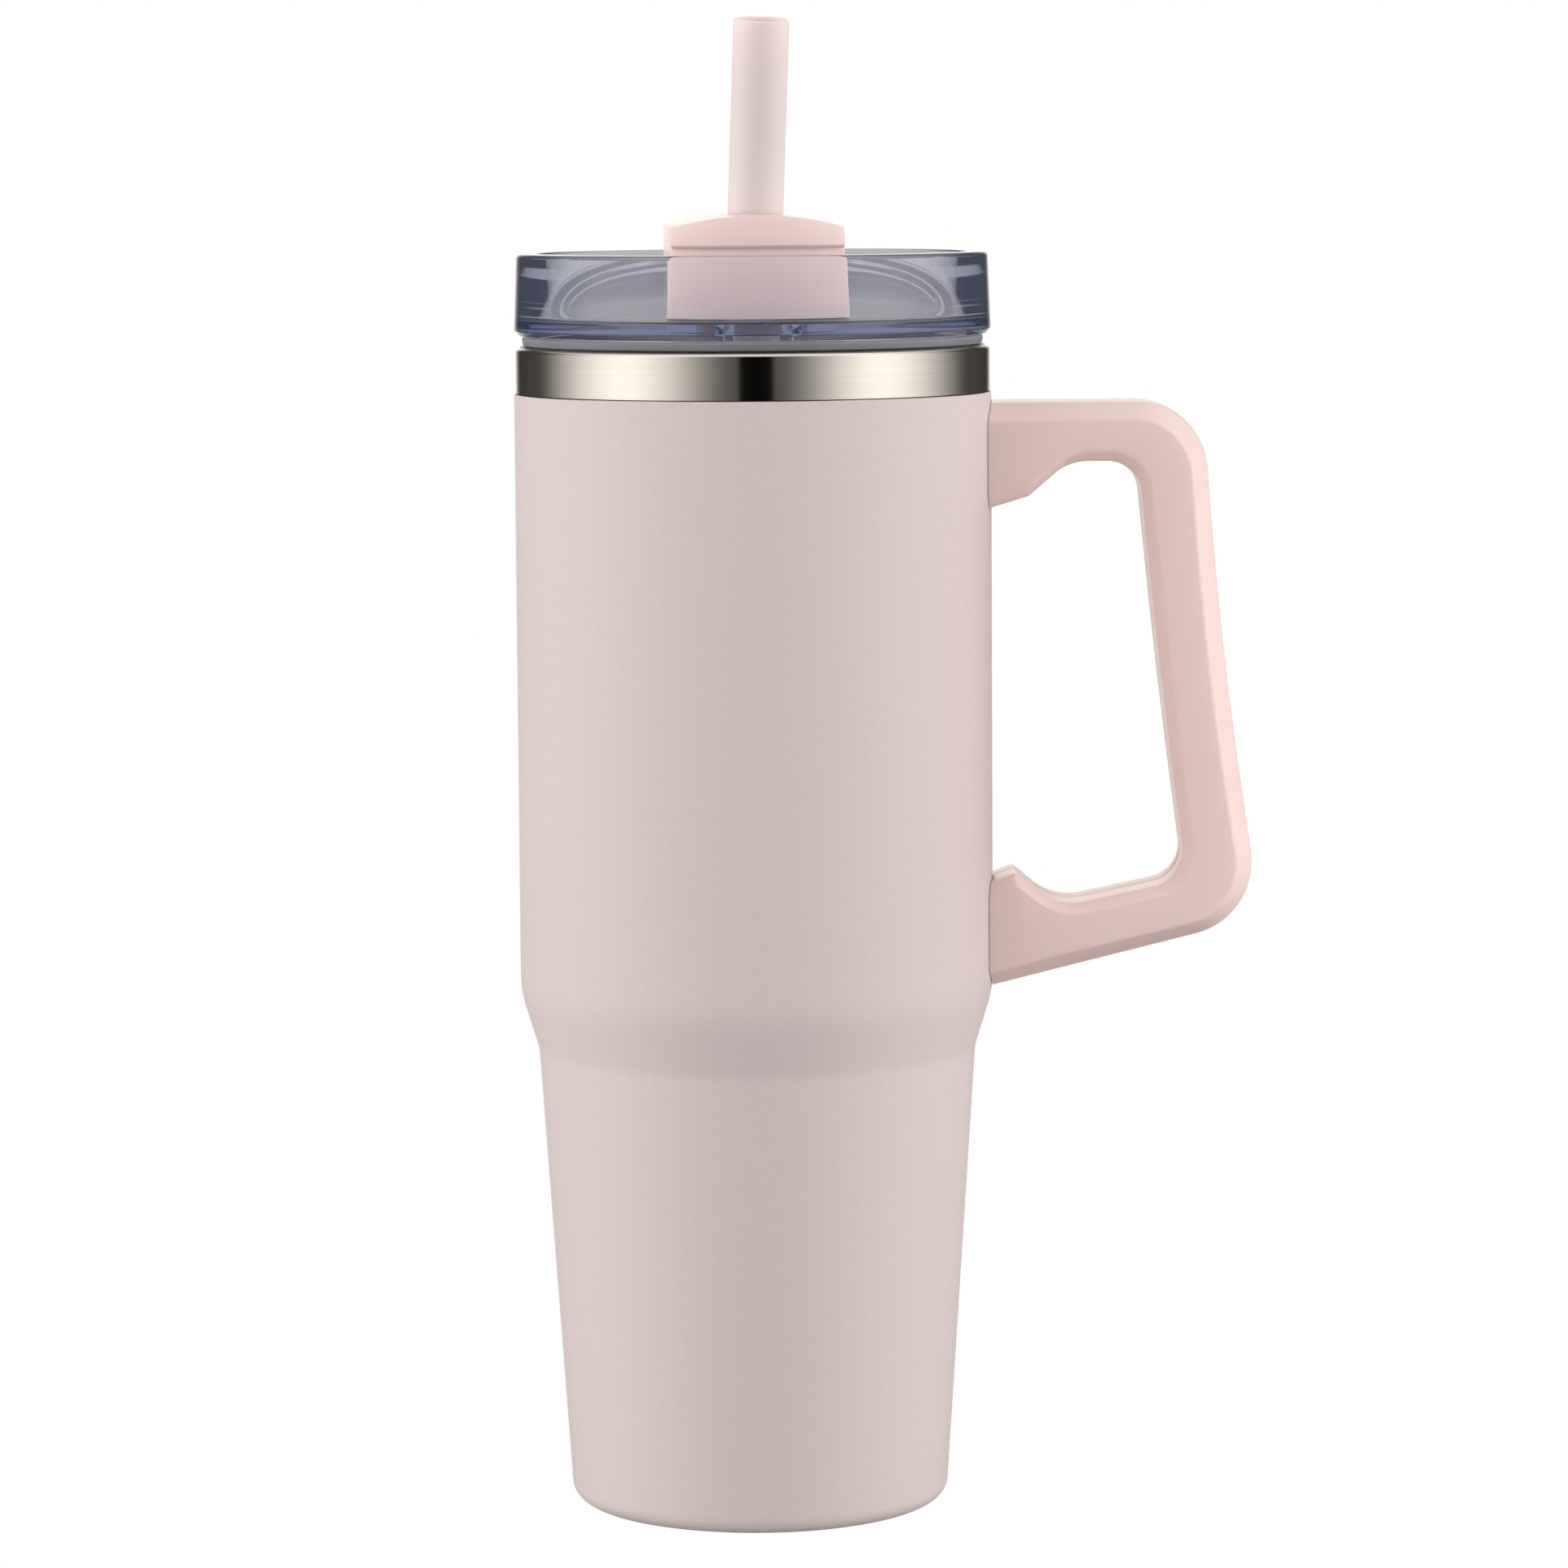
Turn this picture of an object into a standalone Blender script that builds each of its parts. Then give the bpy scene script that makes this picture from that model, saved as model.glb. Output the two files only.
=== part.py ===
"""Insulated drinks tumbler with a handle, a clear push-in lid, a turning bar and a straw.

The origin is the centre of the base, on the surface that the tumbler stands on. +Z is up, and the
handle points along +X. Sizes are written in millimetres and become metres where meshes are made.
"""

import math

import bmesh
import bpy
from mathutils import Matrix, Vector

MM = 0.001

# Driving sizes, in millimetres and degrees.
GAP = 0.3                 # clearance kept between neighbouring pieces
TURN_STEPS = 36           # facets round a large turned piece
SMALL_STEPS = 20          # facets round a small turned piece
SCREW_STEPS = 12          # facets round a screw

BODY_R = 49.0             # painted outside of the upper body
BODY_TOP = 240.6          # top of the steel mouth
BAND_HEIGHT = 9.6         # bare steel between the paint and the mouth
SHOULDER_TOP = 107.5      # height at which the upper body starts to narrow
SHOULDER_DROP = 12.0      # height of the sloping shoulder
SHOULDER_STEP = 3.7       # how far the shoulder draws in
WAIST_Z = SHOULDER_TOP - SHOULDER_DROP
WAIST_R = BODY_R - SHOULDER_STEP
CONE_TAPER = 6.3          # how far the cone draws in between the waist and the base
BASE_R = WAIST_R - CONE_TAPER
FOOT_CORNER = 4.5         # rounding of the bottom edge
SHOULDER_ROUND = 25.0
WAIST_ROUND = 9.0

COAT_T = 0.4              # powder coat
STEEL_T = 0.5             # pressed steel walls
BAND_STEP = 0.2           # how far the bare band lies inside the coat
LIP_SPLIT = 2.1           # width of the liner's turned-out lip, with its clearance
VACUUM_GAP = 1.6          # space between the two steel walls
LINER_FLOOR = 9.0         # underside of the liner's floor
CAP_T = 0.8               # steel disc under the base
CAP_INSET = 4.8           # base edge left round that disc
BASE_FLANGE = 3.0         # how far the outer shell turns in over that disc
BASE_DISC_T = 0.8
DIMPLE_R = 6.0            # dimple in the base disc, where the vacuum is sealed
DIMPLE_DEPTH = 1.4
SEAL_T = 1.0
GETTER_R = 4.0
GETTER_T = 1.8
FOIL_T = 0.3
FOIL_TOP_DROP = 12.0      # upper edge of the foil below the mouth
FOIL_FOOT_RISE = 6.0      # lower edge of the foil above the shoulder
DIMPLE_FLARE = 2.0        # how far the dimple's side slopes out
DISC_EDGE_ROOM = 3.0      # room for the outer shell's corner round the base disc

HANDLE_LOWERED = 11.4     # upper face of the upper arm below the mouth
HANDLE_LOW_RISE = 14.3    # outer corner of the lower arm above the shoulder
HANDLE_REACH = 43.0       # from the painted wall to the grip's outer line, at the top
GRIP_LEAN = 0.1145        # outward run of the grip for each unit of drop
HANDLE_HALF_DEPTH = 10.5
OUTER_FLAT = 6.0          # half width of the face that looks away from the body
INNER_FLAT = 8.5          # half width of the face inside the loop
OUTER_BEVEL = 3.7
INNER_BEVEL = 2.4
CROWN = 0.5               # how far the outer face falls away from its middle
DRAFT = 0.2               # the same on the inner face
ARM_THICKNESS = 12.6      # upper arm, beyond its root
LOWER_ARM_THICKNESS = 8.85
GRIP_THICKNESS = 14.7
LOWER_ARM_RISE = 0.249    # slope of the lower arm's underside
LOWER_ARM_DIP = 5.6       # fall of the lower arm's upper face towards the body
ROOT_FLARE = 7.1          # how far the upper root grows below its arm
ROOT_FALL = 3.7           # further fall of the upper root, on its way to the body
ROOT_FACE_OUT = 7.3       # where the upper root's flare ends, from the painted wall
ROOT_ARM_OUT = 15.5       # where the upper arm starts, from the painted wall
LOWER_FLARE = 7.2         # how far the lower root grows above its arm
LOWER_FACE_OUT = 4.4      # where the lower root's flare ends, from the painted wall
LOWER_ARM_OUT = 12.7      # where the lower arm starts, from the painted wall
LOWER_FALL = 3.5          # fall of the lower root's upper face, on its way to the body
ROOT_DEEP = 5.0           # how far the lofted arms run in before the body is cut out of them
OUTER_ROUND = 15.5
INNER_ROUND = 7.0
ROOT_ROUND = 12.0

BRACKET_HALF_WIDTH = 4.0
BRACKET_HEIGHT = 11.0
BRACKET_REACH = 8.0       # how far a bracket stands out of the painted wall
UPPER_BRACKET_DROP = 10.2  # middle of the upper bracket below the handle's upper face
LOWER_BRACKET_RISE = 11.5  # middle of the lower bracket above the lower arm's underside
SCREW_R = 1.4
SCREW_HEAD_R = 2.6
SCREW_HEAD_T = 1.8
SCREW_SUNK = 0.8          # how far a screw's head lies below the handle's side
SCREW_END = 3.5           # solid material left beyond a screw's tip
SCREW_OUT = 4.4           # distance of a root screw's axis from the painted wall

GASKET_T = 1.7            # silicone flange between the mouth and the lid
GASKET_INSET = 1.6        # how far the flange lies inside the painted wall
SLEEVE_T = 1.1
SLEEVE_DEPTH = 9.0
SEAL_LIP = 0.6
LID_RIM = 16.8            # height of the rim
RIM_DRAFT = 0.6           # how far the rim leans in towards its top
RIM_WALL = 3.9            # rim, at its top
DISH_SLOPE = 2.5          # how far the dish's wall leans in towards the deck
DISH_ROUND = 2.5
DECK_T = 2.4
DECK_LIFT = 0.7           # deck's underside above the rim's underside
PLUG_WALL = 2.3
PLUG_DEPTH = 13.9
PLUG_LEDGE = 1.2          # ledge that keeps the silicone ring on the plug
SIP_FROM_END = 8.7        # middle of the sip hole in from the bar's end
SIP_LENGTH = 15.0
SIP_WIDTH = 8.0

LID_TURN = 2.4            # how far the lid is turned against the handle, degrees
BAR_WIDTH = 35.2          # turning bar, at its foot
BAR_TAPER = 0.35          # how far each side leans in
BAR_HEIGHT = 21.2         # from its foot to the top of its arch
BAR_ARCH = 2.3            # rise of the arch
BAR_CLEAR = 4.8           # clearance between the bar's ends and the foot of the dish's wall
BAR_LIP = 1.4             # how far the lip stands out over each end
BAR_LIP_HEIGHT = 6.4      # from the underside of the lip to the top of the arch
BAR_FLARE = 0.4           # how far each end leans out towards its foot
BAR_WALL = 2.4
HUB_R = 11.6
HUB_GROOVE = 1.0
HUB_BEAD = 0.5
HUB_BEAD_T = 1.2
HUB_FLANGE = 2.6          # flange that presses the hub's seal on the deck
HUB_FLANGE_T = 1.6
HUB_SEAL_T = 1.6
HUB_SEAL_W = 1.8
RING_T = 3.4
RING_W = 2.9
PAD_T = 2.2
PAD_MARGIN = 2.0

STRAW_R = 5.7
STRAW_WALL = 0.9
STRAW_TOP = 39.4          # height of the straw above the top of the bar
STRAW_FOOT = 12.5         # height of its lower end above the liner's floor
STRAW_CLEAR = 2.6         # clearance between the straw's foot and the liner's wall
STRAW_TURN = 17.4         # the straw leans forward, turned this far towards the handle, degrees
STRAW_FIT = 0.45          # clearance between the straw and the bar's bore
BUSH_T = 4.0
BUSH_WALL = 1.5
BUSH_DEPTH = 7.5          # top of the bush below the top of the bar

# Places that follow from the sizes above.
COAT_TOP = BODY_TOP - BAND_HEIGHT
HANDLE_TOP = BODY_TOP - HANDLE_LOWERED
HANDLE_DROP = HANDLE_TOP - SHOULDER_TOP - HANDLE_LOW_RISE
CAP_R = BASE_R - CAP_INSET
WALL_INSET = COAT_T + GAP
SHELL_R = BODY_R - WALL_INSET
LINER_INSET = WALL_INSET + STEEL_T + VACUUM_GAP
MOUTH_R = BODY_R - LINER_INSET - STEEL_T
SHELL_FOOT = CAP_T + GAP
DISC_FOOT = SHELL_FOOT + STEEL_T + GAP
GASKET_Z = BODY_TOP + GAP
GASKET_R = BODY_R - GASKET_INSET
SLEEVE_R = MOUTH_R - GAP - SEAL_LIP
PLUG_R = SLEEVE_R - SLEEVE_T - GAP
LID_R = BODY_R
LID_TOP_R = LID_R - RIM_DRAFT
RIM_FOOT = GASKET_Z + GASKET_T + GAP
RIM_TOP = RIM_FOOT + LID_RIM
DECK_UNDER = RIM_FOOT + DECK_LIFT
DECK_TOP = DECK_UNDER + DECK_T
DISH_R = LID_TOP_R - RIM_WALL - DISH_SLOPE
BAR_FOOT = DECK_TOP + GAP
BAR_TOP = BAR_FOOT + BAR_HEIGHT
BAR_END_R = DISH_R - BAR_CLEAR
SIP_R = BAR_END_R - SIP_FROM_END
HUB_GROOVE_R = HUB_R - HUB_GROOVE
HUB_FLANGE_FOOT = DECK_TOP + 2 * GAP + HUB_SEAL_T
HUB_BEAD_R = HUB_GROOVE_R + HUB_BEAD
RING_TOP = DECK_UNDER - GAP
RING_FOOT = RING_TOP - RING_T
HUB_FOOT = RING_FOOT - GAP - HUB_BEAD_T
STRAW_FOOT_Z = LINER_FLOOR + STEEL_T + STRAW_FOOT

MODEL = None
CUTTERS = None


# ---------------------------------------------------------------- scene and helpers

def clear_scene():
    for item in list(bpy.data.objects):
        bpy.data.objects.remove(item)


def new_collection(name):
    made = bpy.data.collections.new(name)
    bpy.context.scene.collection.children.link(made)
    return made


def material(name, colour, roughness, metallic=0.0, transmission=0.0):
    made = bpy.data.materials.new(name)
    made.use_nodes = True
    shader = made.node_tree.nodes["Principled BSDF"]
    shader.inputs["Base Color"].default_value = (*colour, 1.0)
    shader.inputs["Roughness"].default_value = roughness
    shader.inputs["Metallic"].default_value = metallic
    shader.inputs["Transmission Weight"].default_value = transmission
    made.diffuse_color = (*colour, 1.0)
    return made


def place(name, mesh, finish=None):
    """Links a mesh as one named sub-part, or as a cutter where it has no finish."""
    made = bpy.data.objects.new(name, mesh)
    if finish is None:
        CUTTERS.objects.link(made)
        made.hide_render = True
        made.display_type = "WIRE"
        return made
    MODEL.objects.link(made)
    mesh.materials.append(finish)
    mesh.shade_smooth()
    mesh.set_sharp_from_angle(angle=math.radians(35))
    return made


def fillet(before, corner, after, radius, count=2):
    """Points of the arc that rounds a corner, from one tangent point to the other."""
    corner = Vector(corner[:2])
    to_before = Vector(before[:2]) - corner
    to_after = Vector(after[:2]) - corner
    half = to_before.angle(to_after) / 2
    longest = min(to_before.length, to_after.length) * 0.98
    radius = min(radius, longest * math.tan(half))
    middle = (to_before.normalized() + to_after.normalized()).normalized()
    centre = corner + middle * (radius / math.sin(half))
    start = corner + to_before.normalized() * (radius / math.tan(half)) - centre
    end = corner + to_after.normalized() * (radius / math.tan(half)) - centre
    sweep = start.angle_signed(end)
    turns = [Matrix.Rotation(-sweep * i / count, 2) for i in range(count + 1)]
    return [centre + turn @ start for turn in turns]


def rounded(corners, closed=False, count=2):
    """A polyline through (x, z, radius) corners, with each corner rounded by its radius."""
    points = []
    last = len(corners) - 1
    for i, corner in enumerate(corners):
        at_end = not closed and i in (0, last)
        if corner[2] == 0 or at_end:
            points.append(Vector(corner[:2]))
            continue
        after = corners[(i + 1) % len(corners)]
        points.extend(fillet(corners[i - 1], corner, after, corner[2], count))
    return points


def turned(name, profile, finish=None, steps=TURN_STEPS):
    """Turns a closed profile of (radius, z) points about Z. It runs down the outer side.

    An edge between two points on the axis is left out, since the turned faces close there.
    """
    mesh = bpy.data.meshes.new(name)
    points = [(x * MM, 0.0, z * MM) for x, z in profile]
    edges = []
    for i in range(len(points)):
        j = (i + 1) % len(points)
        if points[i][0] > 0 or points[j][0] > 0:
            edges.append((i, j))
    mesh.from_pydata(points, edges, [])
    made = place(name, mesh, finish)
    screw = made.modifiers.new("turn", "SCREW")
    screw.axis = "Z"
    screw.steps = steps
    screw.render_steps = steps
    screw.use_merge_vertices = True
    screw.merge_threshold = 0.00001
    screw.use_smooth_shade = True
    return made


def box(name, low, high, finish=None):
    mesh = bpy.data.meshes.new(name)
    shape = bmesh.new()
    bmesh.ops.create_cube(shape, size=1.0)
    size = [(b - a) * MM for a, b in zip(low, high)]
    middle = [(a + b) / 2 * MM for a, b in zip(low, high)]
    bmesh.ops.scale(shape, vec=size, verts=shape.verts)
    bmesh.ops.translate(shape, vec=middle, verts=shape.verts)
    shape.to_mesh(mesh)
    shape.free()
    return place(name, mesh, finish)


def rod(name, radius, low, high, finish=None, steps=SMALL_STEPS, frame=Matrix.Identity(4)):
    """A straight round bar along the frame's Z axis."""
    mesh = bpy.data.meshes.new(name)
    shape = bmesh.new()
    size = radius * MM
    depth = (high - low) * MM
    bmesh.ops.create_cone(shape, cap_ends=True, segments=steps, radius1=size, radius2=size, depth=depth)
    bmesh.ops.translate(shape, vec=(0, 0, (low + high) / 2 * MM), verts=shape.verts)
    shape.transform(frame)
    shape.to_mesh(mesh)
    shape.free()
    return place(name, mesh, finish)


def plate(name, outline, low, high, finish=None, frame=Matrix.Identity(4)):
    """A flat outline given thickness along the frame's Z axis, as a filled 2D curve made a mesh."""
    curve = bpy.data.curves.new(name, "CURVE")
    curve.dimensions = "2D"
    curve.fill_mode = "BOTH"
    curve.extrude = (high - low) / 2 * MM
    spline = curve.splines.new("POLY")
    spline.points.add(len(outline) - 1)
    for point, (x, y) in zip(spline.points, outline):
        point.co = (x * MM, y * MM, 0.0, 1.0)
    spline.use_cyclic_u = True
    drawn = bpy.data.objects.new(name + "_curve", curve)
    CUTTERS.objects.link(drawn)
    bpy.context.view_layer.update()
    graph = bpy.context.evaluated_depsgraph_get()
    mesh = bpy.data.meshes.new_from_object(drawn.evaluated_get(graph))
    bpy.data.objects.remove(drawn)
    shape = bmesh.new()
    shape.from_mesh(mesh)
    bmesh.ops.remove_doubles(shape, verts=shape.verts, dist=0.000001)
    bmesh.ops.translate(shape, vec=(0, 0, (low + high) / 2 * MM), verts=shape.verts)
    shape.transform(frame)
    bmesh.ops.recalc_face_normals(shape, faces=shape.faces)
    shape.to_mesh(mesh)
    shape.free()
    mesh.name = name
    return place(name, mesh, finish)


def boolean(target, tool, operation="DIFFERENCE"):
    modifier = target.modifiers.new(operation.lower(), "BOOLEAN")
    modifier.operation = operation
    modifier.solver = "EXACT"
    modifier.object = tool


# ---------------------------------------------------------------- finishes

def paint_finish():
    return material("powder_pink", (0.71, 0.60, 0.585), 0.55)


def steel_finish():
    return material("brushed_steel", (0.62, 0.60, 0.57), 0.32, metallic=1.0)


def moulding_finish():
    return material("pink_moulding", (0.76, 0.52, 0.475), 0.42)


def clear_finish():
    return material("smoked_clear", (0.50, 0.52, 0.60), 0.06, transmission=0.9)


def silicone_finish():
    return material("clear_silicone", (0.55, 0.55, 0.58), 0.5, transmission=0.3)


def straw_finish():
    return material("straw_pink", (0.80, 0.64, 0.60), 0.35)


def foil_finish():
    return material("copper_foil", (0.72, 0.42, 0.30), 0.3, metallic=1.0)


def getter_finish():
    return material("getter_grey", (0.30, 0.30, 0.31), 0.7, metallic=0.5)


# ---------------------------------------------------------------- steel body

def cone_radius(z):
    """Outside radius of the lower cone at a height."""
    return BASE_R + (WAIST_R - BASE_R) * z / WAIST_Z


def wall_line(inset, top, foot, foot_r):
    """The body's outside line, moved in by an inset, from its top down to its foot."""
    corner = max(FOOT_CORNER - inset, 1.0)
    return rounded([
        (BODY_R - inset, top, 0),
        (BODY_R - inset, SHOULDER_TOP, SHOULDER_ROUND),
        (WAIST_R - inset, WAIST_Z, WAIST_ROUND),
        (cone_radius(foot) - inset, foot, corner),
        (foot_r, foot, 0),
    ])


def powder_coat(finish):
    """The coloured coat outside the steel wall. The brackets stand in two windows in it."""
    edge = CAP_R + 1.0
    outside = wall_line(0, COAT_TOP, GAP, edge)
    inside = wall_line(COAT_T, COAT_TOP, GAP + COAT_T, edge)
    coat = turned("powder_coat", outside + inside[::-1], finish)
    for side, middle in zip(("upper", "lower"), bracket_heights()):
        half_width = BRACKET_HALF_WIDTH + GAP
        half_height = BRACKET_HEIGHT / 2 + GAP
        low = (BODY_R - 6, -half_width, middle - half_height)
        high = (BODY_R + 6, half_width, middle + half_height)
        boolean(coat, box(side + "_coat_window", low, high))
    return coat


def outer_shell(finish):
    """The outer steel wall, with the bare band round the mouth and a flange under the base."""
    band = BODY_R - BAND_STEP
    inside_r = BODY_R - WALL_INSET - STEEL_T
    inside_top = BODY_TOP - STEEL_T - GAP
    edge = CAP_R - BASE_FLANGE
    under_paint = wall_line(WALL_INSET, COAT_TOP - GAP, SHELL_FOOT, edge)
    inner_line = wall_line(WALL_INSET + STEEL_T, inside_top, SHELL_FOOT + STEEL_T, edge)
    mouth = rounded([
        (inside_r, inside_top, 0),
        (inside_r, BODY_TOP, 0.4),
        (band, BODY_TOP, 0.8),
        (band, COAT_TOP + GAP, 0),
        (SHELL_R, COAT_TOP - GAP, 0),
    ])
    return turned("outer_shell", mouth[1:-1] + under_paint + inner_line[::-1], finish)


def inner_liner(finish):
    """The steel vessel that holds the drink, with its lip turned out at the mouth."""
    outside = wall_line(LINER_INSET, BODY_TOP - 2.0, LINER_FLOOR, 0.0)
    inside = wall_line(LINER_INSET + STEEL_T, BODY_TOP - 1.0, LINER_FLOOR + STEEL_T, 0.0)
    lip_r = BODY_R - WALL_INSET - STEEL_T - GAP
    lip = rounded([
        (MOUTH_R, BODY_TOP - 1.0, 0),
        (MOUTH_R, BODY_TOP, 0.6),
        (lip_r, BODY_TOP, 0.2),
        (lip_r, BODY_TOP - 1.0, 0),
        (BODY_R - LINER_INSET, BODY_TOP - 2.0, 0),
    ])
    return turned("inner_liner", lip[1:-1] + outside + inside[::-1], finish)


def foil_wrap(finish):
    """Thin foil round the liner in the vacuum space, which keeps radiant heat back."""
    inner = BODY_R - LINER_INSET + GAP
    outer = inner + FOIL_T
    top = BODY_TOP - FOIL_TOP_DROP
    low = SHOULDER_TOP + FOIL_FOOT_RISE
    return turned("foil_wrap", [(outer, top), (outer, low), (inner, low), (inner, top)], finish)


def base_disc(finish):
    """The pressed disc that closes the vacuum space, with a dimple for the seal."""
    top = DISC_FOOT + BASE_DISC_T
    edge = cone_radius(DISC_FOOT) - WALL_INSET - STEEL_T - DISC_EDGE_ROOM
    rise = DISC_FOOT + DIMPLE_DEPTH
    profile = [
        (0.0, rise + BASE_DISC_T),
        (DIMPLE_R, rise + BASE_DISC_T),
        (DIMPLE_R + DIMPLE_FLARE, top),
        (edge, top),
        (edge, DISC_FOOT),
        (DIMPLE_R + DIMPLE_FLARE, DISC_FOOT),
        (DIMPLE_R, rise),
        (0.0, rise),
    ]
    return turned("base_disc", profile, finish)


def vacuum_seal(finish):
    """The bead of solder that seals the vacuum, in the base disc's dimple."""
    top = DISC_FOOT + DIMPLE_DEPTH - GAP
    foot = top - SEAL_T
    radius = DIMPLE_R - 2.0
    profile = [(0.0, top), (radius - 1, top), (radius, top - 0.4), (radius - 0.5, foot), (0.0, foot)]
    return turned("vacuum_seal", profile, finish, steps=SMALL_STEPS)


def getter(finish):
    """The getter tablet, which soaks up the gas left in the vacuum space."""
    foot = DISC_FOOT + BASE_DISC_T + GAP
    frame = Matrix.Translation((-BASE_R / 2 * MM, 0, 0))
    return rod("getter", GETTER_R, foot, foot + GETTER_T, finish, frame=frame)


def base_cap(finish):
    """The flat steel disc that covers the sealed base."""
    return turned("base_cap", rounded([
        (0.0, CAP_T, 0),
        (CAP_R, CAP_T, 0.2),
        (CAP_R, 0.0, 0.3),
        (0.0, 0.0, 0),
    ], count=1), finish)


# ---------------------------------------------------------------- handle

def grip_line(z):
    """X of the grip's outer line at a height."""
    return BODY_R + HANDLE_REACH + (HANDLE_TOP - z) * GRIP_LEAN


def spread(start, end, fractions):
    """Points at the given fractions of a straight run."""
    return [start.lerp(end, f) for f in fractions]


def shares(chain):
    """How far along a chain each of its points is, from 0 to 1."""
    lengths = [0.0]
    for a, b in zip(chain, chain[1:]):
        lengths.append(lengths[-1] + (b - a).length)
    return [length / lengths[-1] for length in lengths]


def outer_corners():
    """Corners of the handle's outer line, from the upper root round to the lower one."""
    root = BODY_R - ROOT_DEEP
    low_z = HANDLE_TOP - HANDLE_DROP
    low_x = grip_line(low_z)
    return [
        Vector((root, HANDLE_TOP)),
        Vector((BODY_R + HANDLE_REACH, HANDLE_TOP)),
        Vector((low_x, low_z)),
        Vector((root, low_z - (low_x - root) * LOWER_ARM_RISE)),
    ]


def inner_corners():
    """Corners of the handle's inner line, from the upper root round to the lower one."""
    root = BODY_R - ROOT_DEEP
    arm_z = HANDLE_TOP - ARM_THICKNESS
    low_z = HANDLE_TOP - HANDLE_DROP + LOWER_ARM_THICKNESS
    dip_z = low_z - LOWER_ARM_DIP
    return [
        Vector((root, arm_z - ROOT_FLARE - ROOT_FALL)),
        Vector((BODY_R + ROOT_FACE_OUT, arm_z - ROOT_FLARE)),
        Vector((BODY_R + ROOT_ARM_OUT, arm_z)),
        Vector((grip_line(arm_z) - GRIP_THICKNESS, arm_z)),
        Vector((grip_line(low_z) - GRIP_THICKNESS, low_z)),
        Vector((BODY_R + LOWER_ARM_OUT, dip_z)),
        Vector((BODY_R + LOWER_FACE_OUT, dip_z + LOWER_FLARE)),
        Vector((root, dip_z + LOWER_FLARE - LOWER_FALL)),
    ]


def handle_corner(at_top):
    """Pairs of points across one of the grip's two corners, from the outer to the inner line."""
    outer = outer_corners()
    inner = inner_corners()
    if at_top:
        outside = fillet(*outer[0:3], OUTER_ROUND, 6)
        inside = fillet(*inner[2:5], INNER_ROUND, 6)
    else:
        outside = fillet(*outer[1:4], OUTER_ROUND, 6)
        inside = fillet(*inner[3:6], INNER_ROUND, 6)
    return list(zip(outside, inside))


def handle_stations():
    """Pairs of points, one on the outer and one on the inner line, from root to root."""
    outer = outer_corners()
    inner = inner_corners()
    top = handle_corner(True)
    low = handle_corner(False)
    upper = inner[0:2] + fillet(*inner[1:4], ROOT_ROUND, 5) + [top[0][1]]
    lower = [low[-1][1]] + fillet(*inner[4:7], ROOT_ROUND, 5) + inner[6:8]
    upper_pairs = list(zip(spread(outer[0], top[0][0], shares(upper)), upper))
    lower_pairs = list(zip(spread(low[-1][0], outer[3], shares(lower)), lower))
    return upper_pairs + top[1:] + low + lower_pairs[1:]


def handle_section(outer, inner, side):
    """Half of the handle's eight-sided section, from the parting plane round to it again."""
    across = (inner - outer).normalized()
    split = side * GAP / 2
    steps = [
        (outer, split),
        (outer + across * CROWN, side * OUTER_FLAT),
        (outer + across * OUTER_BEVEL, side * HANDLE_HALF_DEPTH),
        (inner - across * INNER_BEVEL, side * HANDLE_HALF_DEPTH),
        (inner - across * DRAFT, side * INNER_FLAT),
        (inner, split),
    ]
    return [(point.x * MM, y * MM, point.y * MM) for point, y in steps]


def handle_half(name, side, finish, tools):
    """One moulded half of the handle, lofted through its sections and fitted to the body."""
    mesh = bpy.data.meshes.new(name)
    shape = bmesh.new()
    rings = []
    for outer, inner in handle_stations():
        section = handle_section(outer, inner, side)
        rings.append([shape.verts.new(point) for point in section])
    for ring, following in zip(rings, rings[1:]):
        for i in range(len(ring)):
            j = (i + 1) % len(ring)
            shape.faces.new((ring[i], ring[j], following[j], following[i]))
    shape.faces.new(rings[0])
    shape.faces.new(rings[-1])
    bmesh.ops.recalc_face_normals(shape, faces=shape.faces)
    shape.to_mesh(mesh)
    shape.free()
    half = place(name, mesh, finish)
    for tool in tools:
        boolean(half, tool)
    return half


def bracket_heights():
    """Middle heights of the upper and the lower bracket."""
    outer = outer_corners()
    under = outer[3].y + (BODY_R + SCREW_OUT - outer[3].x) * LOWER_ARM_RISE
    return HANDLE_TOP - UPPER_BRACKET_DROP, under + LOWER_BRACKET_RISE


def screw_places():
    """Middles of the four screws: one in each root, and one in each corner of the grip."""
    places = [Vector((BODY_R + SCREW_OUT, z)) for z in bracket_heights()]
    for at_top in (True, False):
        outside, inside = handle_corner(at_top)[3]
        places.append(outside.lerp(inside, 0.5))
    return places


def screw_frame(place_at):
    """A frame on a screw's axis: its Z points to the rear, and its origin is the parting plane."""
    turn = Matrix.Rotation(math.radians(-90), 4, "X")
    return Matrix.Translation((place_at.x * MM, 0, place_at.y * MM)) @ turn


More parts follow.
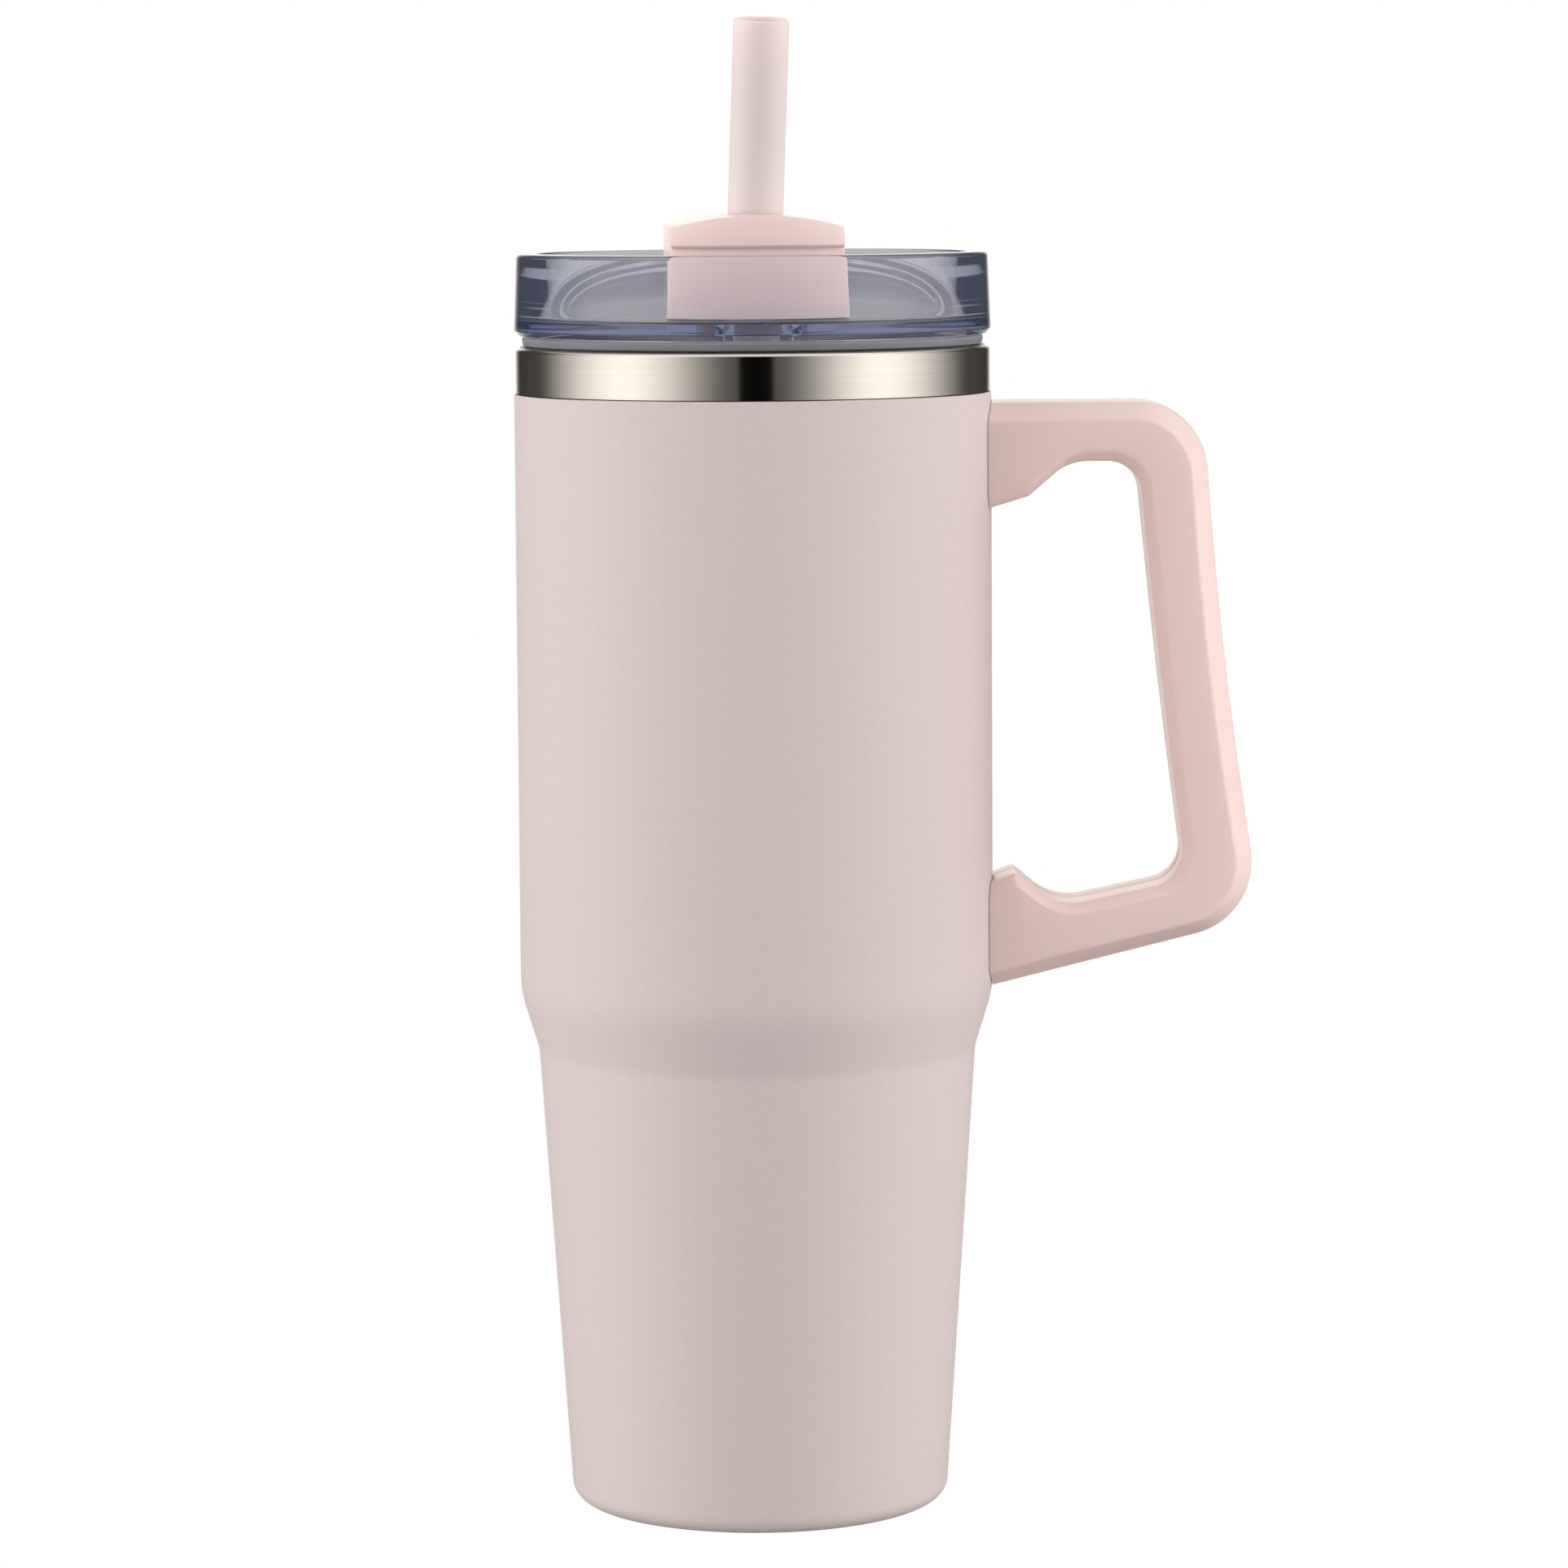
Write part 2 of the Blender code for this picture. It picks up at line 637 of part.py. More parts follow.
def handle_tools():
    """What is cut out of the handle: the body, the two brackets and the four screws."""
    tools = [rod("body_clearance", BODY_R + GAP, WAIST_Z, BODY_TOP, steps=TURN_STEPS)]
    for side, middle in zip(("upper", "lower"), bracket_heights()):
        half_width = BRACKET_HALF_WIDTH + GAP
        half_height = BRACKET_HEIGHT / 2 + GAP
        low = (BODY_R - 4, -half_width, middle - half_height)
        high = (BODY_R + BRACKET_REACH + GAP, half_width, middle + half_height)
        tools.append(box(side + "_bracket_pocket", low, high))
    tip = -HANDLE_HALF_DEPTH + SCREW_END - GAP
    seat = HANDLE_HALF_DEPTH - SCREW_SUNK - SCREW_HEAD_T - GAP
    for i, at in enumerate(screw_places()):
        frame = screw_frame(at)
        outside = HANDLE_HALF_DEPTH + 2
        way = rod(f"screw_way_{i + 1}", SCREW_R + GAP, tip, seat + 1, None, SCREW_STEPS, frame)
        recess = rod(f"screw_recess_{i + 1}", SCREW_HEAD_R + GAP, seat, outside, None, SCREW_STEPS, frame)
        tools.extend((way, recess))
    return tools


def bracket(name, middle, finish):
    """A steel block welded to the outer wall, which the two halves of the handle close round."""
    low = (BODY_R - 4, -BRACKET_HALF_WIDTH, middle - BRACKET_HEIGHT / 2)
    high = (BODY_R + BRACKET_REACH, BRACKET_HALF_WIDTH, middle + BRACKET_HEIGHT / 2)
    block = box(name, low, high, finish)
    boolean(block, rod(name + "_wall", SHELL_R + GAP, WAIST_Z, BODY_TOP, steps=TURN_STEPS))
    frame = screw_frame(Vector((BODY_R + SCREW_OUT, middle)))
    half = BRACKET_HALF_WIDTH + 2
    boolean(block, rod(name + "_hole", SCREW_R + GAP, -half, half, None, SCREW_STEPS, frame))
    return block


def handle_screw(name, at, finish):
    """A screw driven from the rear half of the handle into the front half."""
    tip = -HANDLE_HALF_DEPTH + SCREW_END
    top = HANDLE_HALF_DEPTH - SCREW_SUNK
    seat = top - SCREW_HEAD_T
    profile = rounded([
        (0.0, top, 0),
        (SCREW_HEAD_R, top, 0.6),
        (SCREW_HEAD_R, seat, 0),
        (SCREW_R, seat, 0),
        (SCREW_R, tip + 0.8, 0),
        (SCREW_R - 0.6, tip, 0),
        (0.0, tip, 0),
    ], count=1)
    made = turned(name, profile, finish, steps=SCREW_STEPS)
    boolean(made, rod(name + "_socket", 1.3, top - 1.2, top + 1, steps=6, frame=screw_frame(at)))
    made.matrix_world = screw_frame(at)
    return made


# ---------------------------------------------------------------- lid

def lid_frame():
    """The lid's own frame: the lid can be pushed in at any angle to the handle."""
    return Matrix.Rotation(math.radians(LID_TURN), 4, "Z")


def lid_gasket(finish):
    """The silicone ring: a flange on the mouth, and a sleeve with two lips inside it."""
    inner = SLEEVE_R - SLEEVE_T
    lip = SLEEVE_R + SEAL_LIP
    low = BODY_TOP - SLEEVE_DEPTH
    profile = [
        (inner, GASKET_Z + GASKET_T),
        (GASKET_R, GASKET_Z + GASKET_T),
        (GASKET_R - 0.3, GASKET_Z),
        (SLEEVE_R, GASKET_Z),
    ]
    for drop in (2.5, 6.1):
        profile += [
            (SLEEVE_R, BODY_TOP - drop),
            (lip, BODY_TOP - drop - 0.7),
            (SLEEVE_R, BODY_TOP - drop - 1.4),
        ]
    profile += [(SLEEVE_R, low), (inner, low)]
    return turned("lid_gasket", profile, finish)


def lid_shell(finish):
    """The clear lid: a tall rim, a flat deck, and a plug that goes into the mouth."""
    plug_foot = RIM_FOOT - PLUG_DEPTH
    plug_inner = PLUG_R - PLUG_WALL
    ledge = PLUG_R + PLUG_LEDGE
    hole = HUB_R + GAP
    profile = rounded([
        (LID_TOP_R - RIM_WALL, RIM_TOP, 0.6),
        (LID_TOP_R, RIM_TOP, 0.8),
        (LID_R, RIM_FOOT + 1.1, 0.6),
        (LID_R - 0.8, RIM_FOOT, 0.3),
        (PLUG_R, RIM_FOOT, 0),
        (PLUG_R, plug_foot + 2.0, 0),
        (ledge, plug_foot + 1.4, 0),
        (ledge, plug_foot, 0.4),
        (plug_inner, plug_foot, 0),
        (plug_inner, DECK_UNDER, 2.0),
        (hole, DECK_UNDER, 0),
        (hole, DECK_TOP, 0),
        (DISH_R, DECK_TOP, DISH_ROUND),
    ], closed=True)
    lid = turned("lid_shell", profile, finish)
    low = DECK_UNDER - 5
    high = DECK_TOP + 5
    boolean(lid, plate("sip_cut", sip_outline(0), low, high, frame=lid_frame()))
    return lid


def sip_outline(margin):
    """The sip hole's outline, a slot with round ends in front of the hub, grown by a margin."""
    half = SIP_LENGTH / 2 + margin
    tall = SIP_WIDTH / 2 + margin
    near = -SIP_R + tall
    far = -SIP_R - tall
    corners = [(half, far, tall), (half, near, tall), (-half, near, tall), (-half, far, tall)]
    return rounded(corners, closed=True, count=4)


# ---------------------------------------------------------------- turning bar and straw

def straw_frame():
    """A frame on the straw's axis: its Z runs up the straw, and its origin is at the deck's top.

    The straw leans until its foot stands near the liner's wall, as a loose straw does.
    """
    liner_r = cone_radius(STRAW_FOOT_Z) - LINER_INSET - STEEL_T
    reach = liner_r - STRAW_R - STRAW_CLEAR
    slope = reach / (DECK_TOP - STRAW_FOOT_Z)
    turn = math.radians(STRAW_TURN)
    lean = Vector((slope * math.sin(turn), -slope * math.cos(turn), 1.0))
    upright = lean.to_track_quat("Z", "Y").to_matrix().to_4x4()
    return Matrix.Translation((0, 0, DECK_TOP * MM)) @ upright


def along_straw(z):
    """Distance up the straw's axis from the deck's top to a height."""
    return (z - DECK_TOP) / straw_frame().to_3x3().col[2].z


def arch_outline():
    """The bar seen from the front: straight leaning sides under a shallow arch."""
    half_foot = BAR_WIDTH / 2
    half_top = half_foot - BAR_TAPER
    radius = (half_top ** 2 + BAR_ARCH ** 2) / (2 * BAR_ARCH)
    reach = math.asin(half_top / radius)
    count = 10
    angles = [reach - 2 * reach * i / count for i in range(count + 1)]
    arch = [(radius * math.sin(a), BAR_TOP - radius + radius * math.cos(a)) for a in angles]
    return [(-half_foot, BAR_FOOT), (half_foot, BAR_FOOT)] + arch


def bar_ends():
    """The round that the bar's ends are cut to, with a lip over each end."""
    lip_z = BAR_TOP - BAR_LIP_HEIGHT
    above = BAR_TOP + 3
    below = BAR_FOOT - 3
    profile = [
        (0.0, above),
        (BAR_END_R + BAR_LIP, above),
        (BAR_END_R + BAR_LIP, lip_z + 0.4),
        (BAR_END_R + BAR_LIP - 0.4, lip_z),
        (BAR_END_R, lip_z),
        (BAR_END_R + BAR_FLARE, below),
        (0.0, below),
    ]
    return turned("bar_ends", profile, steps=2 * TURN_STEPS)


def bar_hub():
    """The hub that holds the bar in the deck, with a flange over its seal and a snap groove."""
    profile = [
        (0.0, BAR_TOP - BAR_ARCH - 1.0),
        (HUB_R, BAR_TOP - BAR_ARCH - 1.0),
        (HUB_R, HUB_FLANGE_FOOT + HUB_FLANGE_T),
        (HUB_R + HUB_FLANGE, HUB_FLANGE_FOOT + HUB_FLANGE_T),
        (HUB_R + HUB_FLANGE, HUB_FLANGE_FOOT),
        (HUB_R, HUB_FLANGE_FOOT),
        (HUB_R, RING_TOP),
        (HUB_GROOVE_R, RING_TOP),
        (HUB_GROOVE_R, RING_FOOT - GAP),
        (HUB_BEAD_R, RING_FOOT - GAP),
        (HUB_BEAD_R, HUB_FOOT + 0.5),
        (HUB_BEAD_R - 0.5, HUB_FOOT),
        (0.0, HUB_FOOT),
    ]
    return turned("bar_hub", profile)


def bar_tools():
    """What is cut out of the bar and its hub: the pad's seat, the straw's way and the bush's groove."""
    seat_top = BAR_FOOT + PAD_T + GAP
    seat = plate("pad_seat", sip_outline(PAD_MARGIN + GAP), BAR_FOOT - 2, seat_top, frame=lid_frame())
    low = along_straw(HUB_FOOT) - 5
    high = along_straw(BAR_TOP) + 5
    way = rod("straw_way", STRAW_R + STRAW_FIT, low, high, frame=straw_frame())
    groove_top = along_straw(BAR_TOP - BUSH_DEPTH) + GAP
    groove_foot = groove_top - BUSH_T - 2 * GAP
    groove_r = STRAW_R + 2 * GAP + BUSH_WALL
    groove = rod("bush_groove", groove_r, groove_foot, groove_top, frame=straw_frame())
    return [seat, way, groove]


def twist_bar(finish):
    """The long bar across the dish, hollow from below, which turns on its hub to open the sip hole."""
    to_front = lid_frame() @ Matrix.Rotation(math.radians(90), 4, "X")
    half = BAR_END_R + BAR_LIP + 3
    bar = plate("twist_bar", arch_outline(), -half, half, finish, frame=to_front)
    boolean(bar, bar_ends(), "INTERSECT")
    inside_x = BAR_WIDTH / 2 - BAR_TAPER - BAR_WALL
    rear = math.sqrt(BAR_END_R ** 2 - inside_x ** 2) - BAR_WALL
    front = -SIP_R + SIP_WIDTH / 2 + PAD_MARGIN + GAP + BAR_WALL
    roof = BAR_TOP - BAR_ARCH - BAR_WALL
    hollow = box("bar_hollow", (-inside_x, front, BAR_FOOT - 3), (inside_x, rear, roof))
    hollow.matrix_world = lid_frame()
    boolean(bar, hollow)
    seal_r = HUB_R + HUB_SEAL_W + 2 * GAP
    boolean(bar, rod("seal_room", seal_r, BAR_FOOT - 3, HUB_FLANGE_FOOT, steps=TURN_STEPS))
    boolean(bar, bar_hub(), "UNION")
    for tool in bar_tools():
        boolean(bar, tool)
    return bar


def hub_seal(finish):
    """The silicone ring that seals the hub where it passes through the deck."""
    inner = HUB_R + GAP
    outer = inner + HUB_SEAL_W
    foot = DECK_TOP + GAP
    top = foot + HUB_SEAL_T
    corners = [(inner, top, 0.3), (outer, top, 0.5), (outer, foot, 0.5), (inner, foot, 0.3)]
    return turned("hub_seal", rounded(corners, closed=True, count=1), finish)


def hub_ring(finish):
    """The snap ring in the hub's groove under the deck, which keeps the bar on the lid."""
    inner = HUB_GROOVE_R + GAP
    outer = inner + RING_W
    corners = [(inner, RING_TOP, 0), (outer, RING_TOP, 0), (outer, RING_FOOT, 0.8), (inner, RING_FOOT, 0)]
    return turned("hub_ring", rounded(corners, closed=True, count=2), finish)


def sip_seal(finish):
    """The soft pad in the bar's front end, which closes the sip hole."""
    outline = sip_outline(PAD_MARGIN)
    return plate("sip_seal", outline, BAR_FOOT, BAR_FOOT + PAD_T, finish, frame=lid_frame())


def straw_bush(finish):
    """The soft ring that wipes and grips the straw, in its groove in the hub."""
    top = along_straw(BAR_TOP - BUSH_DEPTH)
    foot = top - BUSH_T
    inner = STRAW_R + GAP
    outer = inner + BUSH_WALL
    profile = [(inner, top), (outer - 0.4, top), (outer, top - 0.4), (outer, foot), (inner, foot)]
    bush = turned("straw_bush", profile, finish, steps=SMALL_STEPS)
    bush.matrix_world = straw_frame()
    return bush


def straw(finish):
    """The rigid straw, which leans a little and slides along its own axis."""
    top = along_straw(BAR_TOP + STRAW_TOP)
    foot = along_straw(STRAW_FOOT_Z)
    inner = STRAW_R - STRAW_WALL
    corners = [(inner, top, 0.3), (STRAW_R, top, 0.3), (STRAW_R, foot, 0.3), (inner, foot, 0.3)]
    profile = rounded(corners, closed=True, count=2)
    made = turned("straw", profile, finish, steps=SMALL_STEPS)
    made.matrix_world = straw_frame()
    return made


# ---------------------------------------------------------------- the whole

def build_body():
    paint = paint_finish()
    steel = steel_finish()
    powder_coat(paint)
    outer_shell(steel)
    inner_liner(steel)
    foil_wrap(foil_finish())
    base_disc(steel)
    vacuum_seal(getter_finish())
    getter(getter_finish())
    base_cap(steel)


def build_handle():
    moulding = moulding_finish()
    steel = steel_finish()
    tools = handle_tools()
    handle_half("handle_front", -1, moulding, tools)
    handle_half("handle_rear", 1, moulding, tools)
    upper, lower = bracket_heights()
    bracket("upper_bracket", upper, steel)
    bracket("lower_bracket", lower, steel)
    for i, at in enumerate(screw_places()):
        handle_screw(f"handle_screw_{i + 1}", at, steel)


def build_lid():
    silicone = silicone_finish()
    moulding = moulding_finish()
    lid_gasket(silicone)
    lid_shell(clear_finish())
    twist_bar(moulding)
    straw_bush(silicone)
    sip_seal(silicone)
    hub_seal(silicone)
    hub_ring(moulding)
    straw(straw_finish())


clear_scene()
MODEL = new_collection("insulated_tumbler")
CUTTERS = new_collection("cutters")
build_body()
build_handle()
build_lid()
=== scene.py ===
# %% [markdown]
# # A powder-coated tumbler with a clear lid, a turning bar and a straw
#
# The solid model of the tumbler comes first, as a fixed frame in metres. Everything made below sits
# on that frame and rides on one of its moving bodies: the vessel, the lid, the bar or the straw.

# %% Load the frame
import math

import bmesh
import bpy
from mathutils import Matrix, Vector


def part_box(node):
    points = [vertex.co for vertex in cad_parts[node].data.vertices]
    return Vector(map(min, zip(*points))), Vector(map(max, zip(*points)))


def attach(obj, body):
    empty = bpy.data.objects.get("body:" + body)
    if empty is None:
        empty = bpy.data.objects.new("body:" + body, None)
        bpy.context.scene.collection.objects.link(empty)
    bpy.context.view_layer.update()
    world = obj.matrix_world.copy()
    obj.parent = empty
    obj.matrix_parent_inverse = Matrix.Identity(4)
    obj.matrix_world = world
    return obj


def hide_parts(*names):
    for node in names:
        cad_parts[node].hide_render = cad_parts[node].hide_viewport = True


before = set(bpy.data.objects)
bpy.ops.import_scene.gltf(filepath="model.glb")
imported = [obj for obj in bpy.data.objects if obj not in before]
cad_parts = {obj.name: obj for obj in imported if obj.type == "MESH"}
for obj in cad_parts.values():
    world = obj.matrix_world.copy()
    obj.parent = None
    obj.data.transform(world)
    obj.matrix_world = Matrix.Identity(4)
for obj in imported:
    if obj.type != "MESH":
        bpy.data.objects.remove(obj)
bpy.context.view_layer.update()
print("nodes:", len(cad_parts))

# %% [markdown]
# Sizes are easiest to read in millimetres, while Blender's own unit is the metre. One constant turns
# the first into the second, and is used wherever points are made.
#
# The frame already knows where each piece is. Reading a piece's box from it keeps the new pieces in
# their places, so heights and radii are taken from there first.

# %% Units and the frame's own sizes
MM = 0.001


def top_of(node):
    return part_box(node)[1].z / MM


def foot_of(node):
    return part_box(node)[0].z / MM


def radius_of(node):
    low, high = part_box(node)
    return (high.y - low.y) / 2 / MM


body_radius = radius_of("powder_coat")
coat_top = top_of("powder_coat")
coat_foot = foot_of("powder_coat")
mouth_top = top_of("outer_shell")
rim_top = top_of("lid_shell")
bar_top = top_of("twist_bar")
print(f"body radius {body_radius:.1f}, mouth at {mouth_top:.1f}, rim at {rim_top:.1f} mm")

# %% [markdown]
# ## Shapes turned on a lathe
#
# Cups, lids, rings and straws are round, so each is a profile spun about an axis. A spin in `bmesh`
# gives neat rings of four-sided faces, which shade and refract much better than a coarse mesh. Corners
# of the profile are rounded first, because no real edge is perfectly sharp: a rounded edge is what
# catches the light.

# %% Rounded corners and the lathe
def rounded(corners, arc=4):
    """A closed outline through (x, z, radius) corners, each rounded by its radius."""
    points = []
    count = len(corners)
    for i, (x, z, radius) in enumerate(corners):
        corner = Vector((x, z))
        if radius == 0:
            points.append(corner)
            continue
        back = Vector(corners[i - 1][:2]) - corner
        on = Vector(corners[(i + 1) % count][:2]) - corner
        half = back.angle(on) / 2
        radius = min(radius, 0.98 * min(back.length, on.length) * math.tan(half))
        back.normalize()
        on.normalize()
        centre = corner + (back + on).normalized() * (radius / math.sin(half))
        start = corner + back * (radius / math.tan(half)) - centre
        end = corner + on * (radius / math.tan(half)) - centre
        sweep = start.angle_signed(end)
        for k in range(arc + 1):
            points.append(centre + Matrix.Rotation(-sweep * k / arc, 2) @ start)
    return points


def finish_mesh(name, shape, sharp=40):
    """Turns a bmesh into a smooth-shaded object, with edges sharper than an angle kept crisp."""
    bmesh.ops.remove_doubles(shape, verts=shape.verts, dist=0.000002)
    bmesh.ops.dissolve_degenerate(shape, edges=shape.edges, dist=0.000001)
    bmesh.ops.recalc_face_normals(shape, faces=shape.faces)
    mesh = bpy.data.meshes.new(name)
    shape.to_mesh(mesh)
    shape.free()
    mesh.shade_smooth()
    mesh.set_sharp_from_angle(angle=math.radians(sharp))
    made = bpy.data.objects.new(name, mesh)
    bpy.context.scene.collection.objects.link(made)
    return made


def lathe(name, outline, steps=144, place=Matrix.Identity(4), sharp=40):
    """Spins a closed outline of (radius, z) points, in millimetres, about the Z axis of a place."""
    shape = bmesh.new()
    rings = []
    for x, z in outline:
        if x < 0.0005:
            rings.append([shape.verts.new((0, 0, z * MM))])
            continue
        ring = []
        for i in range(steps):
            turn = math.tau * i / steps
            ring.append(shape.verts.new((x * MM * math.cos(turn), x * MM * math.sin(turn), z * MM)))
        rings.append(ring)
    for k in range(len(rings)):
        a = rings[k]
        b = rings[(k + 1) % len(rings)]
        if len(a) == 1 and len(b) == 1:
            continue
        for i in range(steps):
            j = (i + 1) % steps
            corners = [a[i % len(a)], a[j % len(a)], b[j % len(b)], b[i % len(b)]]
            unique = []
            for corner in corners:
                if corner not in unique:
                    unique.append(corner)
            shape.faces.new(unique)
    shape.transform(place)
    return finish_mesh(name, shape, sharp)


# %% [markdown]
# ## Cutting one shape with another
#
# Holes, recesses and the fit of the handle against the body are cuts. Each is a Boolean modifier that
# is applied at once and whose tool is thrown away, so only the finished piece stays in the file.

# %% Cuts that are applied at once
def cut(target, tools, operation="DIFFERENCE", sharp=40):
    for tool in tools:
        modifier = target.modifiers.new("cut", "BOOLEAN")
        modifier.operation = operation
        modifier.solver = "EXACT"
        modifier.object = tool
        bpy.context.view_layer.update()
        graph = bpy.context.evaluated_depsgraph_get()
        mesh = bpy.data.meshes.new_from_object(target.evaluated_get(graph))
        target.modifiers.clear()
        target.data = mesh
        bpy.data.objects.remove(tool)
    target.data.shade_smooth()
    target.data.set_sharp_from_angle(angle=math.radians(sharp))
    return target


def drum(radius, low, high, steps=96, place=Matrix.Identity(4)):
    """A plain round cutter."""
    return lathe("cutter", [(0, high), (radius, high), (radius, low), (0, low)], steps, place)


def slab(name, outline, low, high, place=Matrix.Identity(4)):
    """A flat outline of (x, y) points, in millimetres, raised from one height to another."""
    shape = bmesh.new()
    foot = [shape.verts.new((x * MM, y * MM, low * MM)) for x, y in outline]
    head = [shape.verts.new((x * MM, y * MM, high * MM)) for x, y in outline]
    shape.faces.new(foot[::-1])
    shape.faces.new(head)
    for i in range(len(foot)):
        j = (i + 1) % len(foot)
        shape.faces.new((foot[i], foot[j], head[j], head[i]))
    shape.transform(place)
    return finish_mesh(name, shape)


print("lathe, cut and slab are ready")

# %% [markdown]
# ## The powder coat
#
# Powder paint is sprayed on dry and baked, so it follows the steel but softens every corner. The body
# runs straight down, draws in at a shoulder, and tapers as a cone to a rounded foot. The coat is a thin
# shell with an edge at each end, since its top edge shows against the bare band.

# %% The painted wall
shoulder_z = 107.5
waist_z = 95.5
waist_radius = 45.3
foot_radius = 39.0
foot_edge = 35.2
paint = 0.4


def wall(inset, top, foot, inner_end):
    """The body's side view from a top height to its underside, moved in by an inset."""
    slope = (waist_radius - foot_radius) / waist_z
    low_radius = foot_radius + slope * foot - inset
    return [
        (body_radius - inset, top, 0),
        (body_radius - inset, shoulder_z, 24.0),
        (waist_radius - inset, waist_z, 10.0),
        (low_radius, foot, max(4.6 - inset, 1.0)),
        (inner_end, foot, 0),
    ]


outside = wall(0, coat_top, coat_foot, foot_edge)
outside[0] = (body_radius, coat_top, 0.2)
inside = wall(paint, coat_top, coat_foot + paint, foot_edge)
painted_wall = lathe("painted_wall", rounded(outside + inside[::-1], 8), 192)
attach(painted_wall, "vessel")
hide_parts("powder_coat")
print("painted wall:", len(painted_wall.data.polygons), "faces")

# %% [markdown]
# ## The steel wall and its bare band
#
# The coat stops below the mouth, and the steel carries on as a brushed band with a rolled lip. The
# liner's own lip is turned out to meet it, and the fine gap between them is the weld line.

# %% The outer wall, the liner and the base
steel = 0.5
band_radius = radius_of("outer_shell")
shell_inset = paint + 0.3
lip_split = body_radius - shell_inset - steel
outer = [
    (lip_split, mouth_top, 0.35),
    (band_radius, mouth_top, 1.0),
    (band_radius, coat_top + 0.25, 0),
    (body_radius - shell_inset, coat_top + 0.05, 0),
]
outer += wall(shell_inset, coat_top - 0.3, 1.1, 31.2)[1:]
outer += wall(shell_inset + steel, mouth_top - 0.8, 1.6, 31.2)[::-1]
steel_wall = lathe("steel_wall", rounded(outer, 6), 192)
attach(steel_wall, "vessel")
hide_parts("outer_shell")

liner_inset = shell_inset + steel + 1.6
mouth_radius = body_radius - liner_inset - steel
liner_foot = foot_of("inner_liner")
lining = [
    (mouth_radius, mouth_top, 0.6),
    (lip_split - 0.3, mouth_top, 0.3),
    (lip_split - 0.3, mouth_top - 1.0, 0),
]
lining += wall(liner_inset, mouth_top - 2.0, liner_foot, 0.0)
lining += wall(liner_inset + steel, mouth_top - 1.0, liner_foot + steel, 0.0)[::-1][:-1]
steel_liner = lathe("steel_liner", rounded(lining, 6), 160)
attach(steel_liner, "vessel")
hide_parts("inner_liner")

cap_radius = radius_of("base_cap")
cap_outline = rounded([(0, 0.8, 0), (cap_radius, 0.8, 0.25), (cap_radius, 0, 0.35), (0, 0, 0)])
base_plate = lathe("base_plate", cap_outline, 160)
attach(base_plate, "vessel")
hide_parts("base_cap")
print(f"band radius {band_radius:.1f}, mouth radius {mouth_radius:.1f} mm")

# %% [markdown]
# ## The handle
#
# The handle is two mouldings that meet on a parting plane. Its side view is one closed loop with a
# broad outer line and a tighter inner line, and its section is a block with chamfered edges. Lofting
# that section from root to root, through matching points on the two lines, gives the crisp chamfers
# that run all the way round. Each section's own corners are slightly rounded.

# %% The handle's outer and inner lines
handle_top = top_of("handle_front")
lean = 0.1145
reach = 91.9
arm_z = handle_top - 12.6
outer_low_z = handle_top - 107.4
inner_low_z = outer_low_z + 8.85


def grip_x(z):
    return reach + (handle_top - z) * lean


outer_line = [
    Vector((44.0, handle_top)),
    Vector((reach, handle_top)),
    Vector((grip_x(outer_low_z), outer_low_z)),
    Vector((44.0, outer_low_z - (grip_x(outer_low_z) - 44.0) * 0.249)),
]
inner_line = [
    Vector((44.0, arm_z - 10.8)),
    Vector((56.3, arm_z - 7.1)),
    Vector((64.5, arm_z)),
    Vector((grip_x(arm_z) - 14.7, arm_z)),
    Vector((grip_x(inner_low_z) - 14.7, inner_low_z)),
    Vector((61.7, inner_low_z - 5.6)),
    Vector((53.4, inner_low_z + 1.6)),
    Vector((44.0, inner_low_z - 1.9)),
]


def arc_at(line, i, radius, count):
    """The rounded corner of a line at one of its points, as a list of points."""
    corner = line[i]
    back = (line[i - 1] - corner).normalized()
    on = (line[i + 1] - corner).normalized()
    half = back.angle(on) / 2
    centre = corner + (back + on).normalized() * (radius / math.sin(half))
    start = corner + back * (radius / math.tan(half)) - centre
    end = corner + on * (radius / math.tan(half)) - centre
    sweep = start.angle_signed(end)
    return [centre + Matrix.Rotation(-sweep * k / count, 2) @ start for k in range(count + 1)]


def along(points):
    """How far along a chain each of its points is, from 0 to 1."""
    total = [0.0]
    for a, b in zip(points, points[1:]):
        total.append(total[-1] + (b - a).length)
    return [t / total[-1] for t in total]


def soft_chain(points, radius_at, count=8):
    """A chain whose inner points are rounded, each by its own radius."""
    chain = [points[0]]
    for i in range(1, len(points) - 1):
        chain += arc_at(points, i, radius_at[i - 1], count)
    return chain + [points[-1]]


print(f"grip runs from x {grip_x(arm_z):.1f} to {grip_x(outer_low_z):.1f} mm")

# %% [markdown]
# The grip bows in very slightly between its two corners, by less than a millimetre, which stops the
# long straight edges from looking ruled. The bow is largest at mid-height and dies out at both ends.

# %% Sections from root to root
top_out = arc_at(outer_line, 1, 15.5, 14)
low_out = arc_at(outer_line, 2, 15.5, 14)
top_in = arc_at(inner_line, 3, 7.0, 14)
low_in = arc_at(inner_line, 4, 7.0, 14)
upper_in = soft_chain(inner_line[0:3] + [top_in[0]], (1.5, 10.0))
lower_in = soft_chain([low_in[-1]] + inner_line[5:8], (12.0, 1.0))

